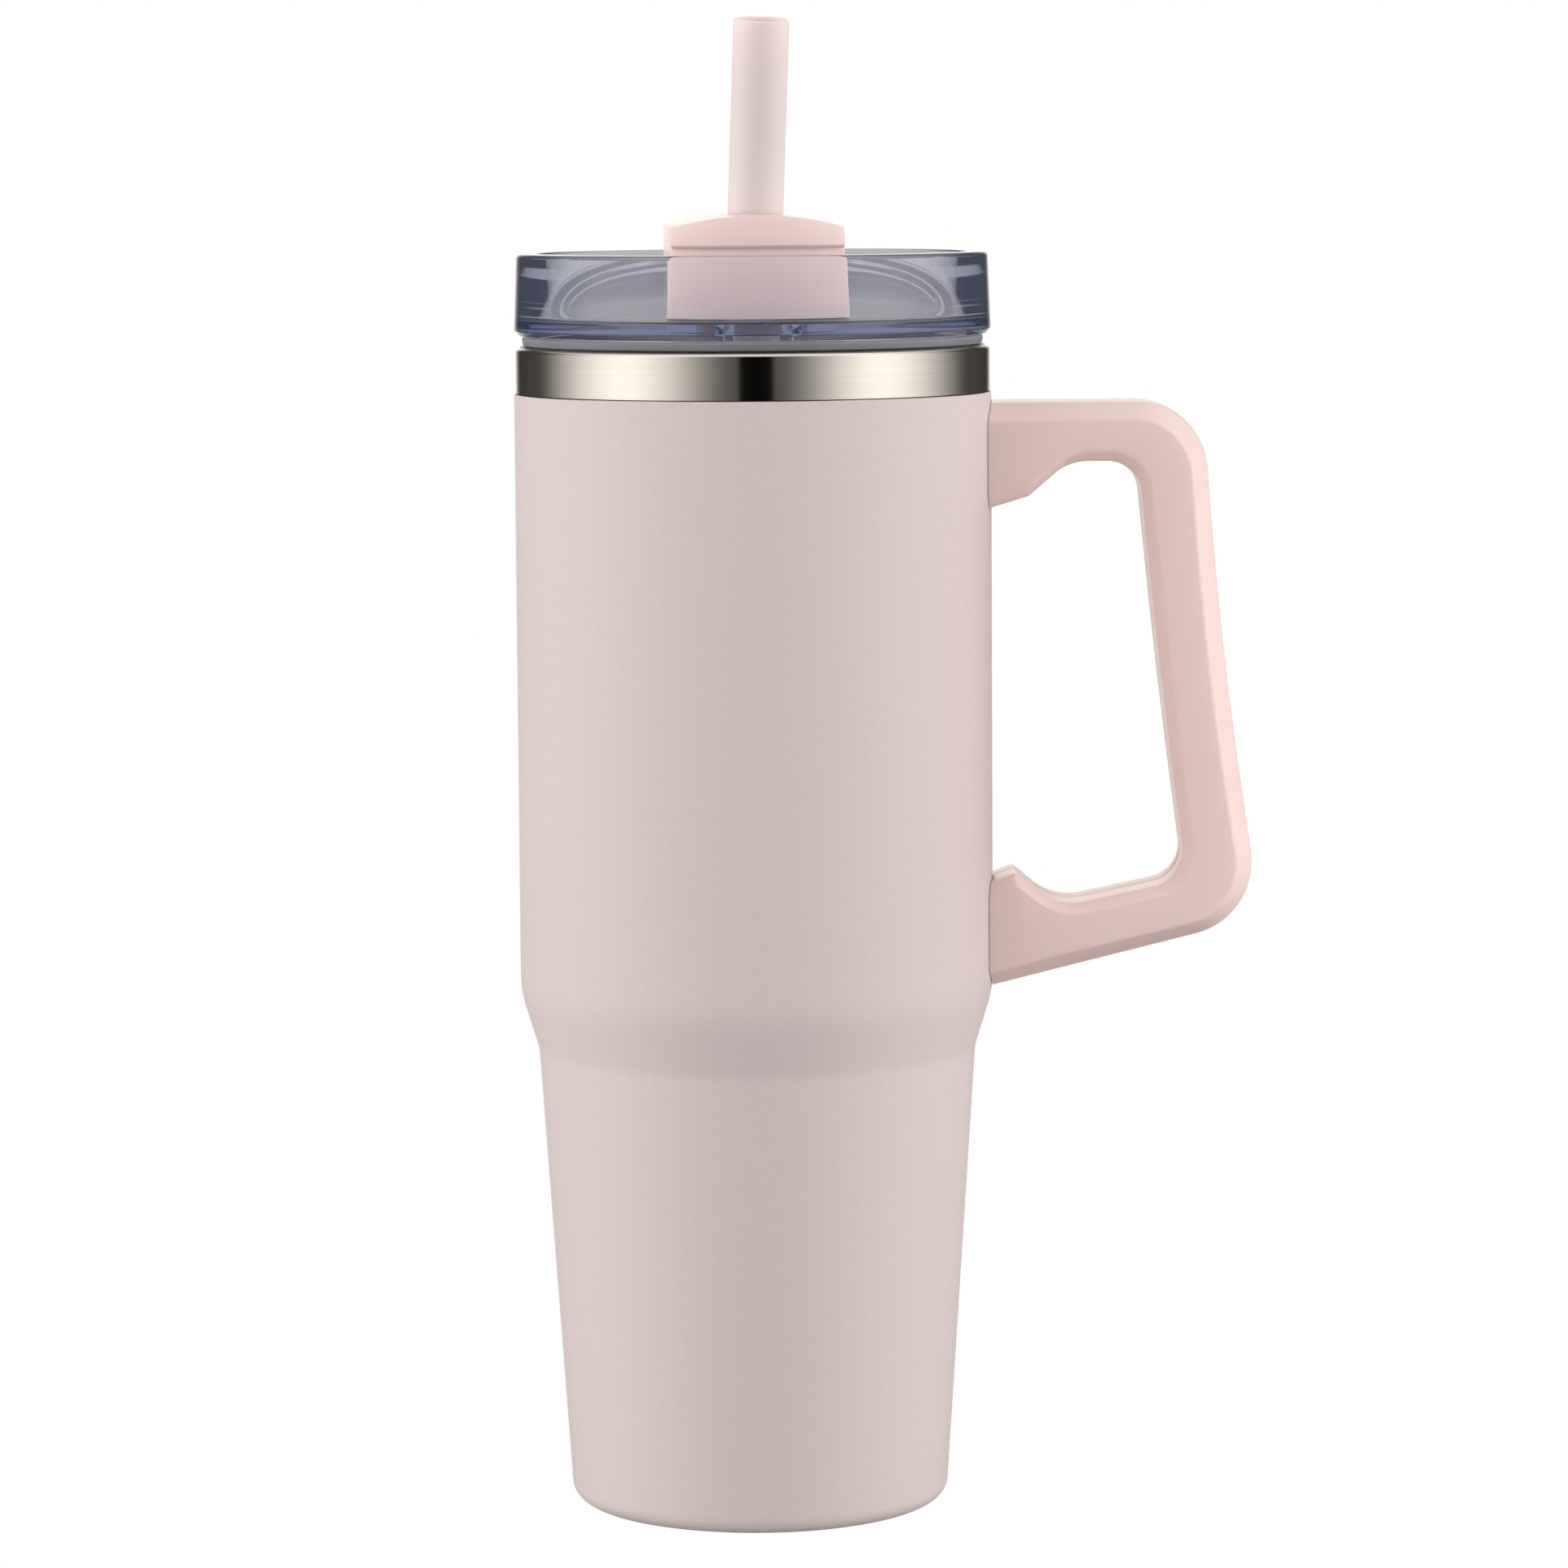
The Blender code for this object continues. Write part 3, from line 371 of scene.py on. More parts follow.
stations = []
for share, point in zip(along(upper_in), upper_in):
    stations.append((outer_line[0].lerp(top_out[0], share), point))
stations += list(zip(top_out, top_in))[1:]
for k in range(1, 14):
    share = k / 14
    bow = 0.9 * math.sin(math.pi * share)
    out_point = top_out[-1].lerp(low_out[0], share) - Vector((bow, 0))
    in_point = top_in[-1].lerp(low_in[0], share) - Vector((0.4 * bow, 0))
    stations.append((out_point, in_point))
stations += list(zip(low_out, low_in))
for share, point in list(zip(along(lower_in), lower_in))[1:]:
    stations.append((low_out[-1].lerp(outer_line[3], share), point))


def section(out_point, in_point, side):
    """The chamfered section between two matching points, on one side of the parting plane."""
    depth = (in_point - out_point).length
    across = (in_point - out_point).normalized()
    corners = [
        (0.0, 0.15, 0.25),
        (0.45, 5.6, 1.1),
        (3.8, 10.42, 1.3),
        (depth - 2.5, 10.45, 1.0),
        (depth - 0.2, 8.5, 0.9),
        (depth, 0.15, 0.25),
    ]
    ring = []
    for inward, y in rounded(corners, 3):
        point = out_point + across * inward
        ring.append((point.x * MM, side * y * MM, point.y * MM))
    return ring


def handle_shell(name, side):
    shape = bmesh.new()
    rings = [[shape.verts.new(p) for p in section(a, b, side)] for a, b in stations]
    for a, b in zip(rings, rings[1:]):
        for i in range(len(a)):
            j = (i + 1) % len(a)
            shape.faces.new((a[i], a[j], b[j], b[i]))
    shape.faces.new(rings[0])
    shape.faces.new(rings[-1][::-1])
    return finish_mesh(name, shape, 30)


handle_near = handle_shell("handle_near", -1)
handle_far = handle_shell("handle_far", 1)
print("handle sections:", len(stations))

# %% [markdown]
# The roots end in the same curve as the body, a hair's breadth away from it. The rear half also has
# four round recesses for the screws that hold the two halves together.

# %% Fit the handle to the body and sink the screws
body_cutter = drum(body_radius + 0.12, 60, 245, 192)
near_cutter = drum(body_radius + 0.12, 60, 245, 192)
cut(handle_near, [near_cutter], sharp=30)
recesses = [body_cutter]
for i in range(1, 5):
    low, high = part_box(f"handle_screw_{i}")
    middle = (low + high) / 2
    face = high.y / MM
    where = Matrix.Translation((middle.x, 0, middle.z)) @ Matrix.Rotation(math.radians(-90), 4, "X")
    recesses.append(drum(2.9, face - 2.1, face + 4, 48, where))
cut(handle_far, recesses, sharp=30)
for half, node in ((handle_near, "handle_front"), (handle_far, "handle_rear")):
    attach(half, "vessel")
    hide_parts(node)
    print(half.name, len(half.data.polygons), "faces")

# %% [markdown]
# ## The lid
#
# The lid is one clear moulding: a rim whose wall gets thicker towards the deck, a flat deck, and a plug
# that goes down into the mouth. Clear plastic is only as good as its mesh, because every ripple bends
# what is seen through it. The rounded corners here use more steps than anywhere else.

# %% The clear lid
rim_foot = top_of("lid_gasket") + 0.3
deck_under = rim_foot + 0.7
deck_top = deck_under + 2.4
lid_radius = radius_of("lid_shell")
plug_foot = foot_of("lid_shell")
plug_radius = 43.4
hub_radius = 11.6
lid_outline = rounded([
    (44.5, rim_top, 0.7),
    (lid_radius - 0.6, rim_top, 1.0),
    (lid_radius, rim_foot + 1.2, 0.9),
    (lid_radius - 0.9, rim_foot, 0.4),
    (plug_radius, rim_foot, 0.2),
    (plug_radius, plug_foot + 2.0, 0),
    (plug_radius + 1.2, plug_foot + 1.4, 0),
    (plug_radius + 1.2, plug_foot, 0.4),
    (plug_radius - 2.3, plug_foot, 0.3),
    (plug_radius - 2.3, deck_under, 2.0),
    (hub_radius + 0.3, deck_under, 0.2),
    (hub_radius + 0.3, deck_top, 0.2),
    (42.8, deck_top, 1.2),
], 6)
clear_lid = lathe("clear_lid", lid_outline, 224, sharp=50)
lid_turn = Matrix.Rotation(math.radians(2.4), 4, "Z")


def sip_slot(margin=0.0):
    half = 7.5 + margin
    tall = 4.0 + margin
    corners = [(half, -28.5 - tall), (half, -28.5 + tall), (-half, -28.5 + tall), (-half, -28.5 - tall)]
    return rounded([(x, y, tall * 0.97) for x, y in corners], 8)


cut(clear_lid, [slab("cutter", sip_slot(), deck_under - 4, deck_top + 4, lid_turn)], sharp=50)
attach(clear_lid, "lid")
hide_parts("lid_shell")
print(f"deck at {deck_top:.1f} mm, rim {rim_top - rim_foot:.1f} mm tall")

# %% [markdown]
# The silicone ring shows as a pale line between the lid and the steel. Its flange carries the lid's
# weight, and two lips on its sleeve press on the liner.

# %% The silicone ring
flange_radius = radius_of("lid_gasket")
sleeve = 44.8
ring_outline = [
    (sleeve - 1.1, rim_foot - 0.3, 0.3),
    (flange_radius, rim_foot - 0.3, 0.35),
    (flange_radius - 0.3, mouth_top + 0.3, 0.35),
    (sleeve, mouth_top + 0.3, 0.3),
]
for drop in (2.5, 6.1):
    ring_outline += [
        (sleeve, mouth_top - drop, 0),
        (sleeve + 0.6, mouth_top - drop - 0.7, 0.2),
        (sleeve, mouth_top - drop - 1.4, 0),
    ]
ring_outline += [(sleeve, mouth_top - 9.0, 0.2), (sleeve - 1.1, mouth_top - 9.0, 0.2)]
silicone_ring = lathe("silicone_ring", rounded(ring_outline, 4), 160)
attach(silicone_ring, "lid")
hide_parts("lid_gasket")
print(f"silicone flange radius {flange_radius:.1f} mm")

# %% [markdown]
# ## The turning bar
#
# The bar is an arch seen from the front, cut to a round at both ends, with a lip that overhangs each
# end. A Bevel modifier with a small width rounds every edge that is left, and the way for the straw
# is cut after it so that its rim stays thin.

# %% The bar's outer form
bar_foot = deck_top + 0.3
bar_half = 17.6
arch_rise = 2.3
lip_z = bar_top - 6.4
bar_end = 37.2


def arch(half_top, crown, rise, count=28):
    radius = (half_top ** 2 + rise ** 2) / (2 * rise)
    swing = math.asin(half_top / radius)
    turns = [swing - 2 * swing * i / count for i in range(count + 1)]
    return [(radius * math.sin(t), crown - radius + radius * math.cos(t)) for t in turns]


to_front = lid_turn @ Matrix.Rotation(math.radians(90), 4, "X")
side_view = [(-bar_half, bar_foot), (bar_half, bar_foot)] + arch(bar_half - 0.35, bar_top, arch_rise)
turning_bar = slab("turning_bar", side_view, -45, 45, to_front)
ends = [
    (0, bar_top + 4),
    (bar_end + 1.4, bar_top + 4),
    (bar_end + 1.4, lip_z + 0.5),
    (bar_end + 0.9, lip_z),
    (bar_end, lip_z),
    (bar_end + 0.4, bar_foot - 4),
    (0, bar_foot - 4),
]
cut(turning_bar, [lathe("cutter", ends, 240)], "INTERSECT", 30)
bevel = turning_bar.modifiers.new("soft edges", "BEVEL")
bevel.width = 0.55 * MM
bevel.segments = 3
bevel.limit_method = "ANGLE"
bevel.angle_limit = math.radians(38)
bevel.use_clamp_overlap = True
print("bar faces before its bevel:", len(turning_bar.data.polygons))

# %% [markdown]
# Seen from below, the bar is hollow, with a hub that goes down through the deck. The hub has a flange
# over its seal and a groove for the snap ring. The straw's way leans, so its cutter gets its own frame
# whose Z axis runs up the straw.

# %% The bar's hollow, its hub and the straw's way
straw_lean = Vector((0.03852, -0.12291, 1.0))
straw_turn = straw_lean.to_track_quat("Z", "Y").to_matrix().to_4x4()
straw_place = Matrix.Translation((0, 0, deck_top * MM)) @ straw_turn
straw_radius = 5.7


def up_straw(z):
    """Distance up the straw's axis to a height."""
    return (z - deck_top) / straw_place.to_3x3().col[2].z


hollow_x = 14.85
hollow = [(hollow_x, -19.8), (hollow_x, 31.7), (-hollow_x, 31.7), (-hollow_x, -19.8)]
roof = bar_top - arch_rise - 2.4
flange_foot = deck_top + 2.2
hub_foot = foot_of("twist_bar")
hub_outline = [
    (0, roof + 1.4),
    (hub_radius, roof + 1.4),
    (hub_radius, flange_foot + 1.6),
    (hub_radius + 2.6, flange_foot + 1.6),
    (hub_radius + 2.6, flange_foot),
    (hub_radius, flange_foot),
    (hub_radius, deck_under - 0.3),
    (hub_radius - 1.0, deck_under - 0.3),
    (hub_radius - 1.0, deck_under - 4.0),
    (hub_radius - 0.5, deck_under - 4.0),
    (hub_radius - 0.5, hub_foot + 0.5),
    (hub_radius - 1.0, hub_foot),
    (0, hub_foot),
]
cut(turning_bar, [slab("cutter", hollow, bar_foot - 4, roof, lid_turn)], sharp=30)
cut(turning_bar, [lathe("cutter", hub_outline, 96)], "UNION", 30)
way = drum(straw_radius + 0.45, up_straw(hub_foot) - 5, up_straw(bar_top) + 6, 96, straw_place)
seat = slab("cutter", sip_slot(2.3), bar_foot - 3, bar_foot + 2.5, lid_turn)
groove_top = up_straw(bar_top - 7.5) + 0.3
groove = drum(straw_radius + 2.1, groove_top - 4.6, groove_top, 96, straw_place)
cut(turning_bar, [way, seat, groove], sharp=30)
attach(turning_bar, "bar")
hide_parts("twist_bar")
print("bar faces:", len(turning_bar.data.polygons))

# %% [markdown]
# ## The straw
#
# A rigid extruded tube with a polished, slightly rounded end. The wall has real thickness, because the
# mouth of the straw is in plain sight and light soaks through it from inside.

# %% The straw
straw_top_z = 306.9
straw_foot_z = 22.0
straw_outline = rounded([
    (straw_radius - 0.9, up_straw(straw_top_z), 0.35),
    (straw_radius, up_straw(straw_top_z), 0.35),
    (straw_radius, up_straw(straw_foot_z), 0.3),
    (straw_radius - 0.9, up_straw(straw_foot_z), 0.3),
], 4)
drinking_straw = lathe("drinking_straw", straw_outline, 72, straw_place)
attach(drinking_straw, "straw")
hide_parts("straw")
print(f"straw {up_straw(straw_top_z) - up_straw(straw_foot_z):.0f} mm long")

# %% [markdown]
# ## Effects that several finishes share
#
# A node group is built once and placed in many materials, each with its own numbers. These groups put
# out only masks, colours and heights. The shader itself stays in each material.
#
# The first one gives a fine grain: a small cellular roughness over a slow, cloudy drift. Powder paint
# uses it large, moulded plastic uses it very fine.

# %% A helper for node groups, and the fine grain
def new_group(name, inputs, outputs):
    group = bpy.data.node_groups.new(name, "ShaderNodeTree")
    for label, kind, value in inputs:
        socket = group.interface.new_socket(label, in_out="INPUT", socket_type=kind)
        if value is not None:
            socket.default_value = value
    for label, kind in outputs:
        group.interface.new_socket(label, in_out="OUTPUT", socket_type=kind)
    start = group.nodes.new("NodeGroupInput")
    end = group.nodes.new("NodeGroupOutput")
    return group, start, end


def math_node(tree, operation, a, b=None, clamp=False):
    node = tree.nodes.new("ShaderNodeMath")
    node.operation = operation
    node.use_clamp = clamp
    for socket, value in zip(node.inputs, (a, b)):
        if value is None:
            continue
        if isinstance(value, (int, float)):
            socket.default_value = value
        else:
            tree.links.new(value, socket)
    return node.outputs[0]


FLOAT = "NodeSocketFloat"
COLOUR = "NodeSocketColor"
VECTOR = "NodeSocketVector"

fine_grain, grain_in, grain_out = new_group(
    "fine grain",
    [("Position", VECTOR, None), ("Grain per Metre", FLOAT, 2500.0), ("Drift per Metre", FLOAT, 18.0)],
    [("Height", FLOAT), ("Speckle", FLOAT), ("Drift", FLOAT)],
)
speck = fine_grain.nodes.new("ShaderNodeTexNoise")
speck.inputs["Detail"].default_value = 3.0
speck.inputs["Roughness"].default_value = 0.6
pits = fine_grain.nodes.new("ShaderNodeTexVoronoi")
pits.feature = "SMOOTH_F1"
drift = fine_grain.nodes.new("ShaderNodeTexNoise")
drift.inputs["Detail"].default_value = 4.0
for node in (speck, pits, drift):
    fine_grain.links.new(grain_in.outputs["Position"], node.inputs["Vector"])
fine_grain.links.new(grain_in.outputs["Grain per Metre"], speck.inputs["Scale"])
half_scale = math_node(fine_grain, "MULTIPLY", grain_in.outputs["Grain per Metre"], 0.6)
fine_grain.links.new(half_scale, pits.inputs["Scale"])
fine_grain.links.new(grain_in.outputs["Drift per Metre"], drift.inputs["Scale"])
pit_share = math_node(fine_grain, "MULTIPLY", pits.outputs["Distance"], 0.5)
speck_share = math_node(fine_grain, "MULTIPLY", speck.outputs["Fac"], 0.7)
height = math_node(fine_grain, "ADD", pit_share, speck_share)
fine_grain.links.new(height, grain_out.inputs["Height"])
fine_grain.links.new(speck.outputs["Fac"], grain_out.inputs["Speckle"])
fine_grain.links.new(drift.outputs["Fac"], grain_out.inputs["Drift"])
print("group:", fine_grain.name)

# %% [markdown]
# The second group draws the lines that a brush leaves when steel is spun against it. Noise that is
# stretched a thousandfold round the axis and not at all along it looks exactly like them.

# %% Brushed lines round the axis
brushed, brushed_in, brushed_out = new_group(
    "brushed lines",
    [("Position", VECTOR, None), ("Lines per Metre", FLOAT, 3200.0), ("Streak Length", FLOAT, 9.0)],
    [("Lines", FLOAT), ("Smudge", FLOAT)],
)
split = brushed.nodes.new("ShaderNodeSeparateXYZ")
join = brushed.nodes.new("ShaderNodeCombineXYZ")
lines = brushed.nodes.new("ShaderNodeTexNoise")
lines.inputs["Scale"].default_value = 1.0
lines.inputs["Detail"].default_value = 4.0
lines.inputs["Roughness"].default_value = 0.65
smudge = brushed.nodes.new("ShaderNodeTexNoise")
smudge.inputs["Scale"].default_value = 35.0
smudge.inputs["Detail"].default_value = 3.0
brushed.links.new(brushed_in.outputs["Position"], split.inputs[0])
for axis in (0, 1):
    stretched = math_node(brushed, "MULTIPLY", split.outputs[axis], brushed_in.outputs["Streak Length"])
    brushed.links.new(stretched, join.inputs[axis])
tight = math_node(brushed, "MULTIPLY", split.outputs[2], brushed_in.outputs["Lines per Metre"])
brushed.links.new(tight, join.inputs[2])
brushed.links.new(join.outputs[0], lines.inputs["Vector"])
brushed.links.new(brushed_in.outputs["Position"], smudge.inputs["Vector"])
brushed.links.new(lines.outputs["Fac"], brushed_out.inputs["Lines"])
brushed.links.new(smudge.outputs["Fac"], brushed_out.inputs["Smudge"])
print("group:", brushed.name)

# %% [markdown]
# The third group blends a colour between two tones by a mask, and the fourth remaps a mask to a range
# of roughness. Both are small, but naming them keeps each material easy to read.

# %% Two tones and a range
two_tones, tones_in, tones_out = new_group(
    "two tones",
    [("Mask", FLOAT, 0.5), ("Low Tone", COLOUR, (1, 1, 1, 1)), ("High Tone", COLOUR, (1, 1, 1, 1))],
    [("Colour", COLOUR)],
)
spread_mask = two_tones.nodes.new("ShaderNodeMapRange")
spread_mask.inputs["From Min"].default_value = 0.3
spread_mask.inputs["From Max"].default_value = 0.7
tone_mix = two_tones.nodes.new("ShaderNodeMix")
tone_mix.data_type = "RGBA"
two_tones.links.new(tones_in.outputs["Mask"], spread_mask.inputs["Value"])
two_tones.links.new(spread_mask.outputs["Result"], tone_mix.inputs["Factor"])
two_tones.links.new(tones_in.outputs["Low Tone"], tone_mix.inputs[6])
two_tones.links.new(tones_in.outputs["High Tone"], tone_mix.inputs[7])
two_tones.links.new(tone_mix.outputs[2], tones_out.inputs["Colour"])

value_range, range_in, range_out = new_group(
    "value range",
    [("Mask", FLOAT, 0.5), ("Low", FLOAT, 0.3), ("High", FLOAT, 0.6)],
    [("Value", FLOAT)],
)
spread_value = value_range.nodes.new("ShaderNodeMapRange")
spread_value.inputs["From Min"].default_value = 0.3
spread_value.inputs["From Max"].default_value = 0.7
value_range.links.new(range_in.outputs["Mask"], spread_value.inputs["Value"])
value_range.links.new(range_in.outputs["Low"], spread_value.inputs["To Min"])
value_range.links.new(range_in.outputs["High"], spread_value.inputs["To Max"])
value_range.links.new(spread_value.outputs["Result"], range_out.inputs["Value"])
print("groups:", two_tones.name, "and", value_range.name)

# %% [markdown]
# ## Finishes
#
# Each finish starts from a Principled shader. Numbers that are the same all over are set straight on
# its sockets. What changes over the surface comes in through the groups: the colour's drift, the
# roughness and the height behind a Bump node.

# %% Helpers that build a finish
def new_finish(name, **values):
    finish = bpy.data.materials.new(name)
    finish.use_nodes = True
    shader = finish.node_tree.nodes["Principled BSDF"]
    for label, value in values.items():
        shader.inputs[label.replace("_", " ")].default_value = value
    coordinates = finish.node_tree.nodes.new("ShaderNodeTexCoord")
    return finish, shader, coordinates.outputs["Object"]


def use_group(finish, group, position=None, **values):
    node = finish.node_tree.nodes.new("ShaderNodeGroup")
    node.node_tree = group
    for label, value in values.items():
        node.inputs[label.replace("_", " ")].default_value = value
    if position is not None:
        finish.node_tree.links.new(position, node.inputs["Position"])
    return node


def tones(finish, shader, mask, low, high):
    node = use_group(finish, two_tones, Low_Tone=(*low, 1), High_Tone=(*high, 1))
    finish.node_tree.links.new(mask, node.inputs["Mask"])
    finish.node_tree.links.new(node.outputs["Colour"], shader.inputs["Base Color"])


def roughness(finish, shader, mask, low, high):
    node = use_group(finish, value_range, Low=low, High=high)
    finish.node_tree.links.new(mask, node.inputs["Mask"])
    finish.node_tree.links.new(node.outputs["Value"], shader.inputs["Roughness"])


def bump(finish, shader, height, strength, distance):
    node = finish.node_tree.nodes.new("ShaderNodeBump")
    node.inputs["Strength"].default_value = strength
    node.inputs["Distance"].default_value = distance
    finish.node_tree.links.new(height, node.inputs["Height"])
    finish.node_tree.links.new(node.outputs["Normal"], shader.inputs["Normal"])


print("finish helpers are ready")

# %% [markdown]
# Powder paint is matt with a faint orange-peel texture. Light spreads wide on it, so its roughness is
# high and a weak sheen lifts its edges. The moulded plastic is the same pink but warmer, smoother,
# and lets a little light in, which is what reddens its hollows.

# %% Powder paint and moulded plastic
powder_paint, shader, position = new_finish("powder paint", Sheen_Weight=0.12, Sheen_Roughness=0.5)
shader.inputs["Specular IOR Level"].default_value = 0.42
grain = use_group(powder_paint, fine_grain, position, Grain_per_Metre=1700.0, Drift_per_Metre=14.0)
tones(powder_paint, shader, grain.outputs["Speckle"], (0.665, 0.560, 0.545), (0.700, 0.590, 0.575))
roughness(powder_paint, shader, grain.outputs["Drift"], 0.50, 0.58)
bump(powder_paint, shader, grain.outputs["Height"], 0.22, 0.00012)

moulded_pink, shader, position = new_finish(
    "moulded pink", Subsurface_Weight=0.35, Subsurface_Scale=0.004)
shader.inputs["Subsurface Radius"].default_value = (1.0, 0.45, 0.35)
grain = use_group(moulded_pink, fine_grain, position, Grain_per_Metre=3600.0, Drift_per_Metre=22.0)
tones(moulded_pink, shader, grain.outputs["Drift"], (0.920, 0.695, 0.660), (0.940, 0.715, 0.680))
roughness(moulded_pink, shader, grain.outputs["Speckle"], 0.27, 0.35)
bump(moulded_pink, shader, grain.outputs["Height"], 0.10, 0.00005)

straw_pink, shader, position = new_finish(
    "straw pink", Subsurface_Weight=0.6, Subsurface_Scale=0.006, Specular_IOR_Level=0.35)
shader.inputs["Subsurface Radius"].default_value = (1.0, 0.5, 0.4)
grain = use_group(straw_pink, fine_grain, position, Grain_per_Metre=2200.0, Drift_per_Metre=26.0)
tones(straw_pink, shader, grain.outputs["Drift"], (0.925, 0.670, 0.640), (0.945, 0.690, 0.660))
roughness(straw_pink, shader, grain.outputs["Speckle"], 0.46, 0.54)
bump(straw_pink, shader, grain.outputs["Height"], 0.06, 0.00004)
print("pink finishes:", powder_paint.name, moulded_pink.name, straw_pink.name)

# %% [markdown]
# Brushed steel is marked by its lines: the line pattern drives the colour, the roughness and a very
# shallow bump. Steel that was only pressed, such as the brackets, the screws and the base, has coarser
# lines and a rougher surface. The inside of the vessel is rougher still, so that it stays pale in the
# shade.

# %% Steel, copper and the getter
def brushed_metal(name, low, high, rough, lines_per_metre, anisotropic):
    finish, metal, where = new_finish(name, Metallic=1.0, Anisotropic=anisotropic)
    pattern = use_group(finish, brushed, where, Lines_per_Metre=lines_per_metre)
    tones(finish, metal, pattern.outputs["Lines"], low, high)
    roughness(finish, metal, pattern.outputs["Lines"], *rough)
    bump(finish, metal, pattern.outputs["Lines"], 0.03, 0.00002)
    return finish


band_steel = brushed_metal(
    "brushed band steel", (0.600, 0.580, 0.550), (0.650, 0.630, 0.600), (0.07, 0.11), 3200, 0.0)
pressed_steel = brushed_metal(
    "pressed steel", (0.50, 0.49, 0.47), (0.62, 0.61, 0.59), (0.28, 0.42), 1600, 0.2)
liner_steel = brushed_metal("liner steel", (0.60, 0.59, 0.575), (0.72, 0.71, 0.69), (0.36, 0.50), 900, 0.0)
copper = brushed_metal("copper foil", (0.66, 0.36, 0.24), (0.78, 0.46, 0.33), (0.22, 0.36), 700, 0.0)

sintered, shader, position = new_finish("sintered grey", Metallic=0.5)
grain = use_group(sintered, fine_grain, position, Grain_per_Metre=2600.0, Drift_per_Metre=90.0)
tones(sintered, shader, grain.outputs["Speckle"], (0.20, 0.20, 0.21), (0.36, 0.36, 0.37))
roughness(sintered, shader, grain.outputs["Drift"], 0.6, 0.8)
bump(sintered, shader, grain.outputs["Height"], 0.4, 0.0001)
print("metals:", band_steel.name, pressed_steel.name, copper.name)

# %% [markdown]
# The lid is smoked: the thicker the plastic that light has to cross, the darker and bluer it comes
# out. A Volume Absorption shader does just that, so the rim's edges go deep blue-grey while the thin
# deck stays pale. A faint blue glow stands for the light that such plastic scatters inside. Rays that
# carry shadow, and rays that have already bounced off something matt, pass the lid as if it were thin
# clear sheet, so the pieces under it are lit. Silicone is cloudier, so light only soaks through it.

# %% Smoked plastic and silicone
smoked, shader, position = new_finish("smoked clear plastic", Transmission_Weight=1.0, IOR=1.5)
shader.inputs["Base Color"].default_value = (1.0, 1.0, 1.0, 1)
grain = use_group(smoked, fine_grain, position, Grain_per_Metre=400.0, Drift_per_Metre=40.0)
roughness(smoked, shader, grain.outputs["Drift"], 0.012, 0.04)
tree = smoked.node_tree
absorb = tree.nodes.new("ShaderNodeVolumeAbsorption")
absorb.inputs["Color"].default_value = (0.0, 0.10, 0.50, 1)
absorb.inputs["Density"].default_value = 15.0
tree.links.new(absorb.outputs["Volume"], tree.nodes["Material Output"].inputs["Volume"])
shader.inputs["Emission Color"].default_value = (0.62, 0.68, 1.0, 1)
shader.inputs["Emission Strength"].default_value = 0.016
clear = tree.nodes.new("ShaderNodeBsdfTransparent")
clear.inputs["Color"].default_value = (0.96, 0.96, 0.97, 1)
path = tree.nodes.new("ShaderNodeLightPath")
scattered = math_node(tree, "GREATER_THAN", path.outputs["Diffuse Depth"], 0.5)
lets_by = math_node(tree, "MAXIMUM", path.outputs["Is Shadow Ray"], scattered)
blend = tree.nodes.new("ShaderNodeMixShader")
tree.links.new(lets_by, blend.inputs[0])
tree.links.new(shader.outputs["BSDF"], blend.inputs[1])
tree.links.new(clear.outputs["BSDF"], blend.inputs[2])
tree.links.new(blend.outputs[0], tree.nodes["Material Output"].inputs["Surface"])

silicone, shader, position = new_finish(
    "cloudy silicone", Subsurface_Weight=0.5, Subsurface_Scale=0.002, Specular_IOR_Level=0.4)
shader.inputs["Subsurface Radius"].default_value = (1.0, 1.0, 1.0)
grain = use_group(silicone, fine_grain, position, Grain_per_Metre=1500.0, Drift_per_Metre=60.0)
tones(silicone, shader, grain.outputs["Drift"], (0.19, 0.187, 0.205), (0.25, 0.247, 0.27))
roughness(silicone, shader, grain.outputs["Speckle"], 0.38, 0.52)
bump(silicone, shader, grain.outputs["Height"], 0.08, 0.00005)
print("clear finishes:", smoked.name, silicone.name)

# %% [markdown]
# ## Put each finish on its pieces
#
# Pieces made here and pieces kept from the frame get their finish in the same way: the first material
# slot is replaced.

# %% Dress the pieces
def dress(piece, finish):
    piece.data.materials.clear()
    piece.data.materials.append(finish)


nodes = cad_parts
dress(painted_wall, powder_paint)
dress(handle_near, moulded_pink)
dress(handle_far, moulded_pink)
dress(turning_bar, moulded_pink)
dress(nodes["hub_ring"], moulded_pink)
dress(drinking_straw, straw_pink)
dress(steel_wall, band_steel)
dress(steel_liner, liner_steel)
dress(base_plate, pressed_steel)
dress(clear_lid, smoked)
dress(silicone_ring, silicone)
for name in ("hub_seal", "sip_seal", "straw_bush"):
    dress(nodes[name], silicone)
for name in ("base_disc", "upper_bracket", "lower_bracket"):
    dress(nodes[name], pressed_steel)
for i in range(1, 5):
    dress(nodes[f"handle_screw_{i}"], pressed_steel)
dress(nodes["foil_wrap"], copper)
dress(nodes["getter"], sintered)
dress(nodes["vacuum_seal"], sintered)
print("every piece is dressed")

# %% [markdown]
# ## Camera
#
# The camera stands 1.2 metres in front, a little above the mouth, and looks down by about six degrees.
# A long lens keeps the sides nearly parallel. It is rolled by a fraction of a degree.

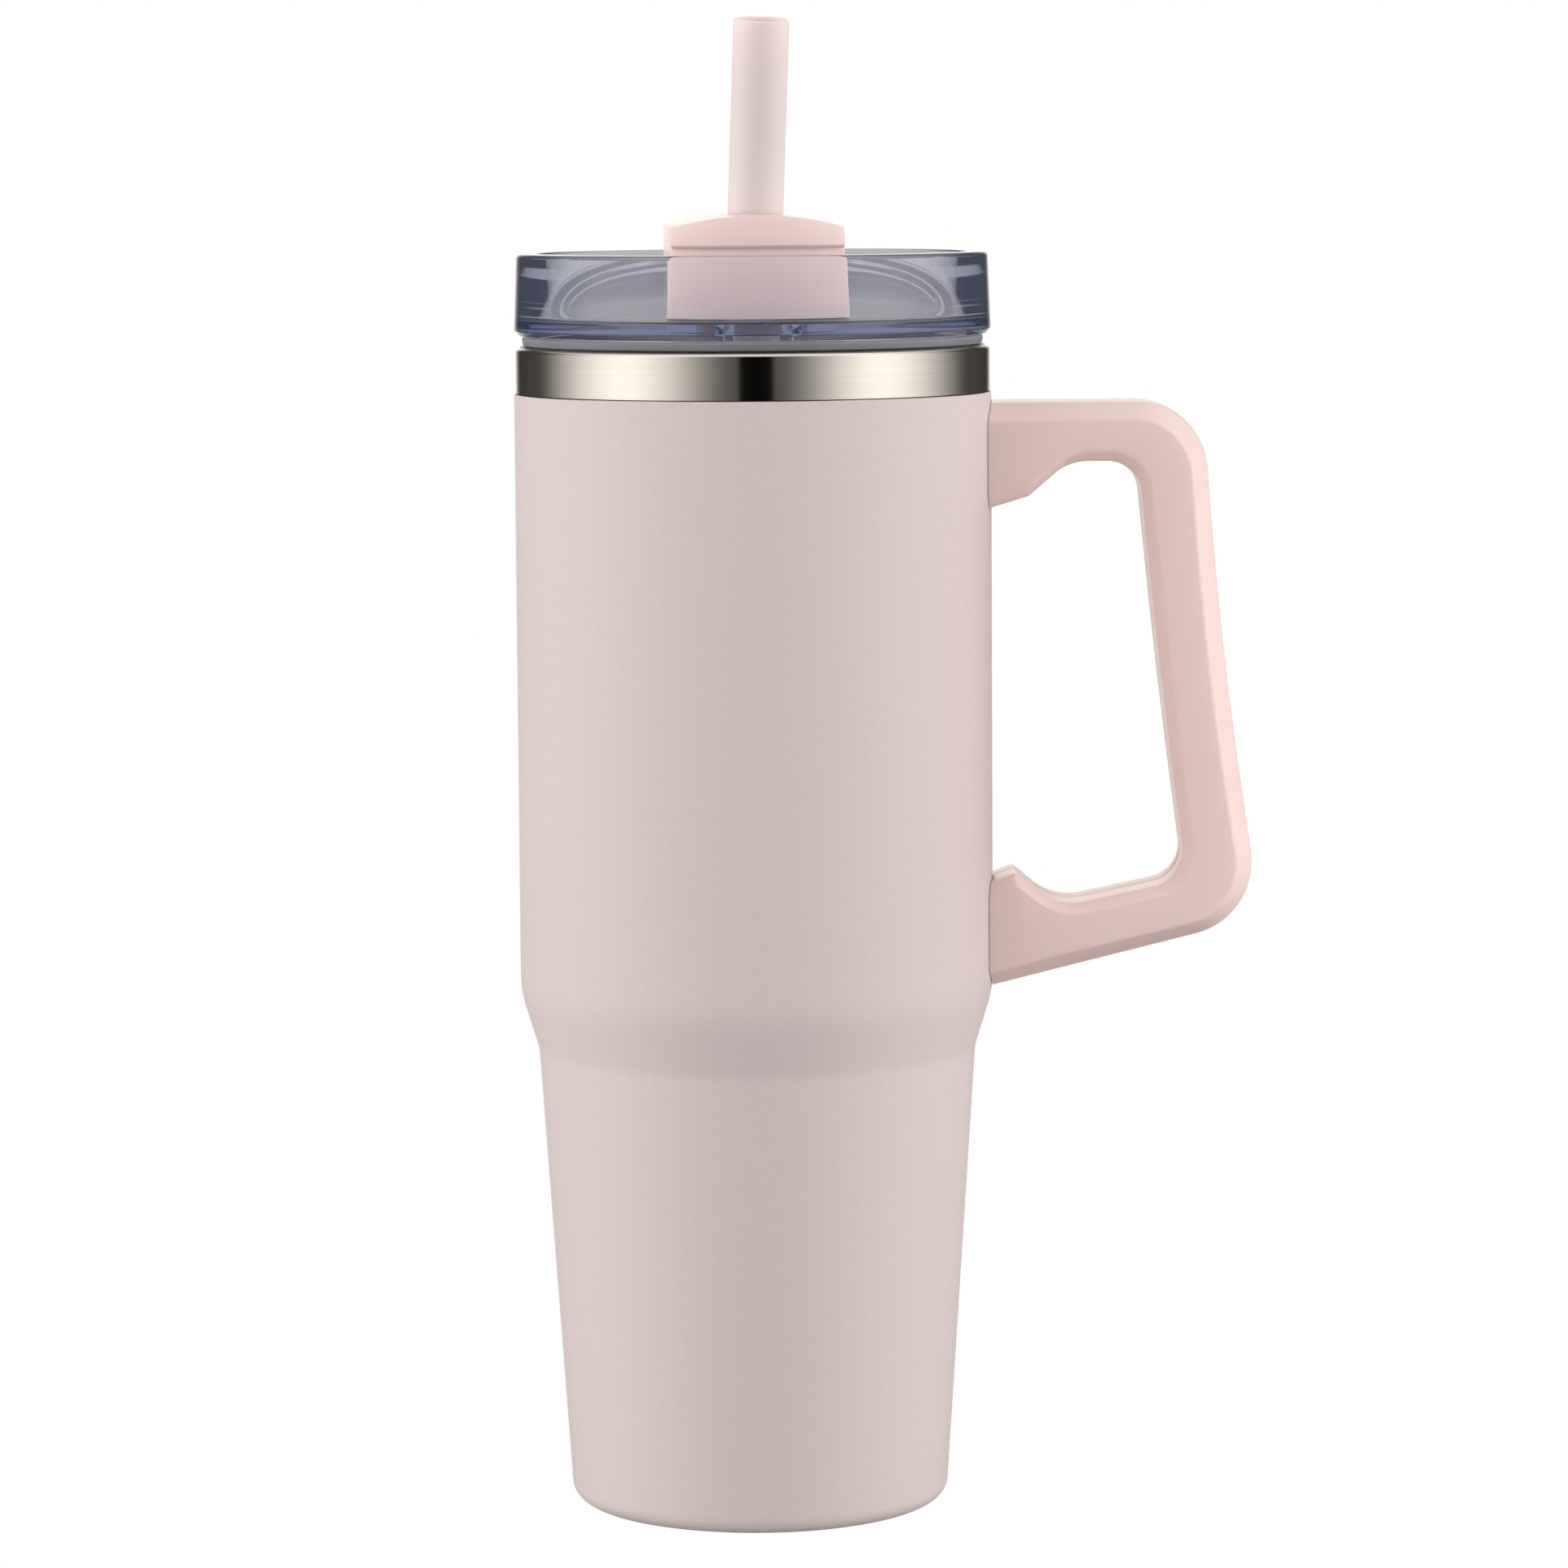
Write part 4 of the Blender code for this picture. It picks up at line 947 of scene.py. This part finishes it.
# %% Camera
camera_data = bpy.data.cameras.new("camera")
camera_data.sensor_width = 36.0
camera_data.lens = 133.8
camera_data.clip_start = 0.05
camera_data.clip_end = 50.0
camera = bpy.data.objects.new("camera", camera_data)
bpy.context.scene.collection.objects.link(camera)
tilt = Matrix.Rotation(math.radians(90 - 6.14), 4, "X")
roll = Matrix.Rotation(math.radians(-0.38), 4, "Z")
camera.matrix_world = Matrix.Translation((0.0059, -1.2, 0.279)) @ tilt @ roll
bpy.context.scene.camera = camera
print("lens", camera_data.lens, "mm")

# %% [markdown]
# ## Light
#
# The studio is a ring of soft light rather than a few lamps. Seen from the tumbler, the brightest
# parts of the ring are two tall panels, 65 degrees to the left and right of the camera. They fade
# smoothly towards the front and the back, and a narrow dark gap stays open almost straight ahead,
# turned two degrees aside. That gap is the black stripe down the middle of the steel. Straight behind
# the tumbler the ring is bright again, which thinly lights its outermost edges. Polished metal shows
# such a ring as soft vertical bands, which no small lamp could do.
#
# The ring is painted on the world as a function of direction: an angle round the vertical axis looked
# up on a colour ramp whose stops are eased into one another, and a second ramp from the floor up to
# overhead.

# %% The ring of light
def seen_by(tree, ray):
    return tree.nodes.new("ShaderNodeLightPath").outputs[ray]


def fill_ramp(ramp, stops):
    ramp.elements.remove(ramp.elements[-1])
    for place, (red, green, blue) in stops:
        stop = ramp.elements.new(place)
        stop.color = (red, green, blue, 1)
    ramp.elements.remove(ramp.elements[0])


# Degrees from straight ahead, and the brightness there.
gap_end = (7.5, 0.004)
panel_start = (9.0, 0.08)
panel_middle = (65.0, 1.0)
panel_end = (129.0, 0.05)
rear_start = (155.0, 0.035)
rear_middle = (180.0, 1.0)
ring_by_degrees = [(0.0, 0.002), gap_end, panel_start, panel_middle, panel_end, rear_start, rear_middle]
gap_turned = 2.0
world = bpy.data.worlds.new("studio")
bpy.context.scene.world = world
world.use_nodes = True
tree = world.node_tree
direction = tree.nodes.new("ShaderNodeTexCoord").outputs["Generated"]
parts = tree.nodes.new("ShaderNodeSeparateXYZ")
tree.links.new(direction, parts.inputs[0])
ahead = math_node(tree, "MULTIPLY", parts.outputs[1], -1.0)
shift = math_node(tree, "MULTIPLY", ahead, math.tan(math.radians(gap_turned)))
aside = math_node(tree, "ABSOLUTE", math_node(tree, "SUBTRACT", parts.outputs[0], shift))
angle = math_node(tree, "DIVIDE", math_node(tree, "ARCTAN2", aside, ahead), math.pi)
ring = tree.nodes.new("ShaderNodeValToRGB")
ring.color_ramp.interpolation = "EASE"
fill_ramp(ring.color_ramp, [(d / 180, (v, v, v)) for d, v in ring_by_degrees])
tree.links.new(angle, ring.inputs[0])
print("ring of light:", len(ring.color_ramp.elements), "stops")

# %% [markdown]
# Overhead the ring gives way to a ceiling. It is bright for polished surfaces, which mirror it on the
# tops of the handle, the bar and the rim, and nearly dark for matt ones. Polished surfaces also see the
# ring in a slightly warmer colour. The backdrop is white to the eye, and a mid grey to what shines
# straight through the clear lid.

# %% Ceiling, backdrop and the world's output
def mixed_colour(tree, share, low, high):
    node = tree.nodes.new("ShaderNodeMix")
    node.data_type = "RGBA"
    for socket, value in ((node.inputs[0], share), (node.inputs[6], low), (node.inputs[7], high)):
        if isinstance(value, tuple):
            socket.default_value = (*value, 1)
        else:
            tree.links.new(value, socket)
    return node.outputs[2]


def tinted(tree, colour, tint):
    node = tree.nodes.new("ShaderNodeVectorMath")
    node.operation = "MULTIPLY"
    tree.links.new(colour, node.inputs[0])
    node.inputs[1].default_value = tint
    return node.outputs[0]


def plain_background(grey):
    node = tree.nodes.new("ShaderNodeBackground")
    node.inputs["Color"].default_value = (grey, grey, grey, 1)
    return node.outputs[0]


def choose(tree, share, low, high):
    node = tree.nodes.new("ShaderNodeMixShader")
    tree.links.new(share, node.inputs[0])
    tree.links.new(low, node.inputs[1])
    tree.links.new(high, node.inputs[2])
    return node.outputs[0]


ceiling_for_matt = (0.05, 0.05, 0.05)
ceiling_for_polish = (0.85, 0.85, 0.85)
strength_for_matt = (3.40, 3.40, 3.40)
strength_for_polish = (1.62, 1.53, 1.42)
grey_behind_lid = 0.46
ceiling_by_height = [(0.0, 0), (0.40, 0), (0.66, 0.6), (1.0, 1)]
height_ramp = tree.nodes.new("ShaderNodeValToRGB")
fill_ramp(height_ramp.color_ramp, [(z, (v, v, v)) for z, v in ceiling_by_height])
tree.links.new(parts.outputs[2], height_ramp.inputs[0])
room = mixed_colour(tree, height_ramp.outputs[0], ring.outputs[0], ceiling_for_matt)
bright_room = mixed_colour(tree, height_ramp.outputs[0], ring.outputs[0], ceiling_for_polish)
for_matt = tinted(tree, room, strength_for_matt)
for_polish = tinted(tree, bright_room, strength_for_polish)
studio_light = tree.nodes["Background"]
light_colour = mixed_colour(tree, seen_by(tree, "Is Glossy Ray"), for_matt, for_polish)
tree.links.new(light_colour, studio_light.inputs["Color"])

path = tree.nodes.new("ShaderNodeLightPath")
unscattered = math_node(tree, "LESS_THAN", path.outputs["Diffuse Depth"], 0.5)
straight_through = math_node(tree, "MULTIPLY", path.outputs["Is Transmission Ray"], unscattered)
behind_lid = choose(tree, straight_through, studio_light.outputs[0], plain_background(grey_behind_lid))
backdrop = choose(tree, seen_by(tree, "Is Camera Ray"), behind_lid, plain_background(1.0))
tree.links.new(backdrop, tree.nodes["World Output"].inputs["Surface"])
print("the world is lit")

# %% [markdown]
# The floor is a pale sheet that only throws light back up. The eye looks past it to the white
# backdrop, so the tumbler stands free, as it would in a catalogue. Two tall side panels add light from
# straight left and right, which rounds the body. They stay out of reflections.

# %% Pale floor and side panels
bpy.ops.mesh.primitive_plane_add(size=30.0, location=(0, 0, 0))
floor = bpy.context.object
floor.name = "studio_floor"
floor_finish = bpy.data.materials.new("pale floor")
floor_finish.use_nodes = True
matt = floor_finish.node_tree.nodes["Principled BSDF"]
matt.inputs["Base Color"].default_value = (0.45, 0.45, 0.45, 1)
matt.inputs["Roughness"].default_value = 0.7
floor.data.materials.append(floor_finish)
floor.visible_camera = False
floor.visible_glossy = False
floor.visible_transmission = False
side_out = 1.3
panel_width = 0.7
panel_height = 1.4
panel_power = 5.0
for name, side in (("left_panel", -1), ("right_panel", 1)):
    lamp = bpy.data.lights.new(name, "AREA")
    lamp.shape = "RECTANGLE"
    lamp.size = panel_width
    lamp.size_y = panel_height
    lamp.energy = panel_power
    panel = bpy.data.objects.new(name, lamp)
    bpy.context.scene.collection.objects.link(panel)
    facing_in = Matrix.Rotation(math.radians(90 * side), 4, "Y")
    panel.matrix_world = Matrix.Translation((side_out * side, 0.1, 0.35)) @ facing_in
    panel.visible_camera = False
    panel.visible_glossy = False
    panel.visible_transmission = False
bpy.context.scene.view_settings.view_transform = "Standard"
print("backdrop and floor are in place")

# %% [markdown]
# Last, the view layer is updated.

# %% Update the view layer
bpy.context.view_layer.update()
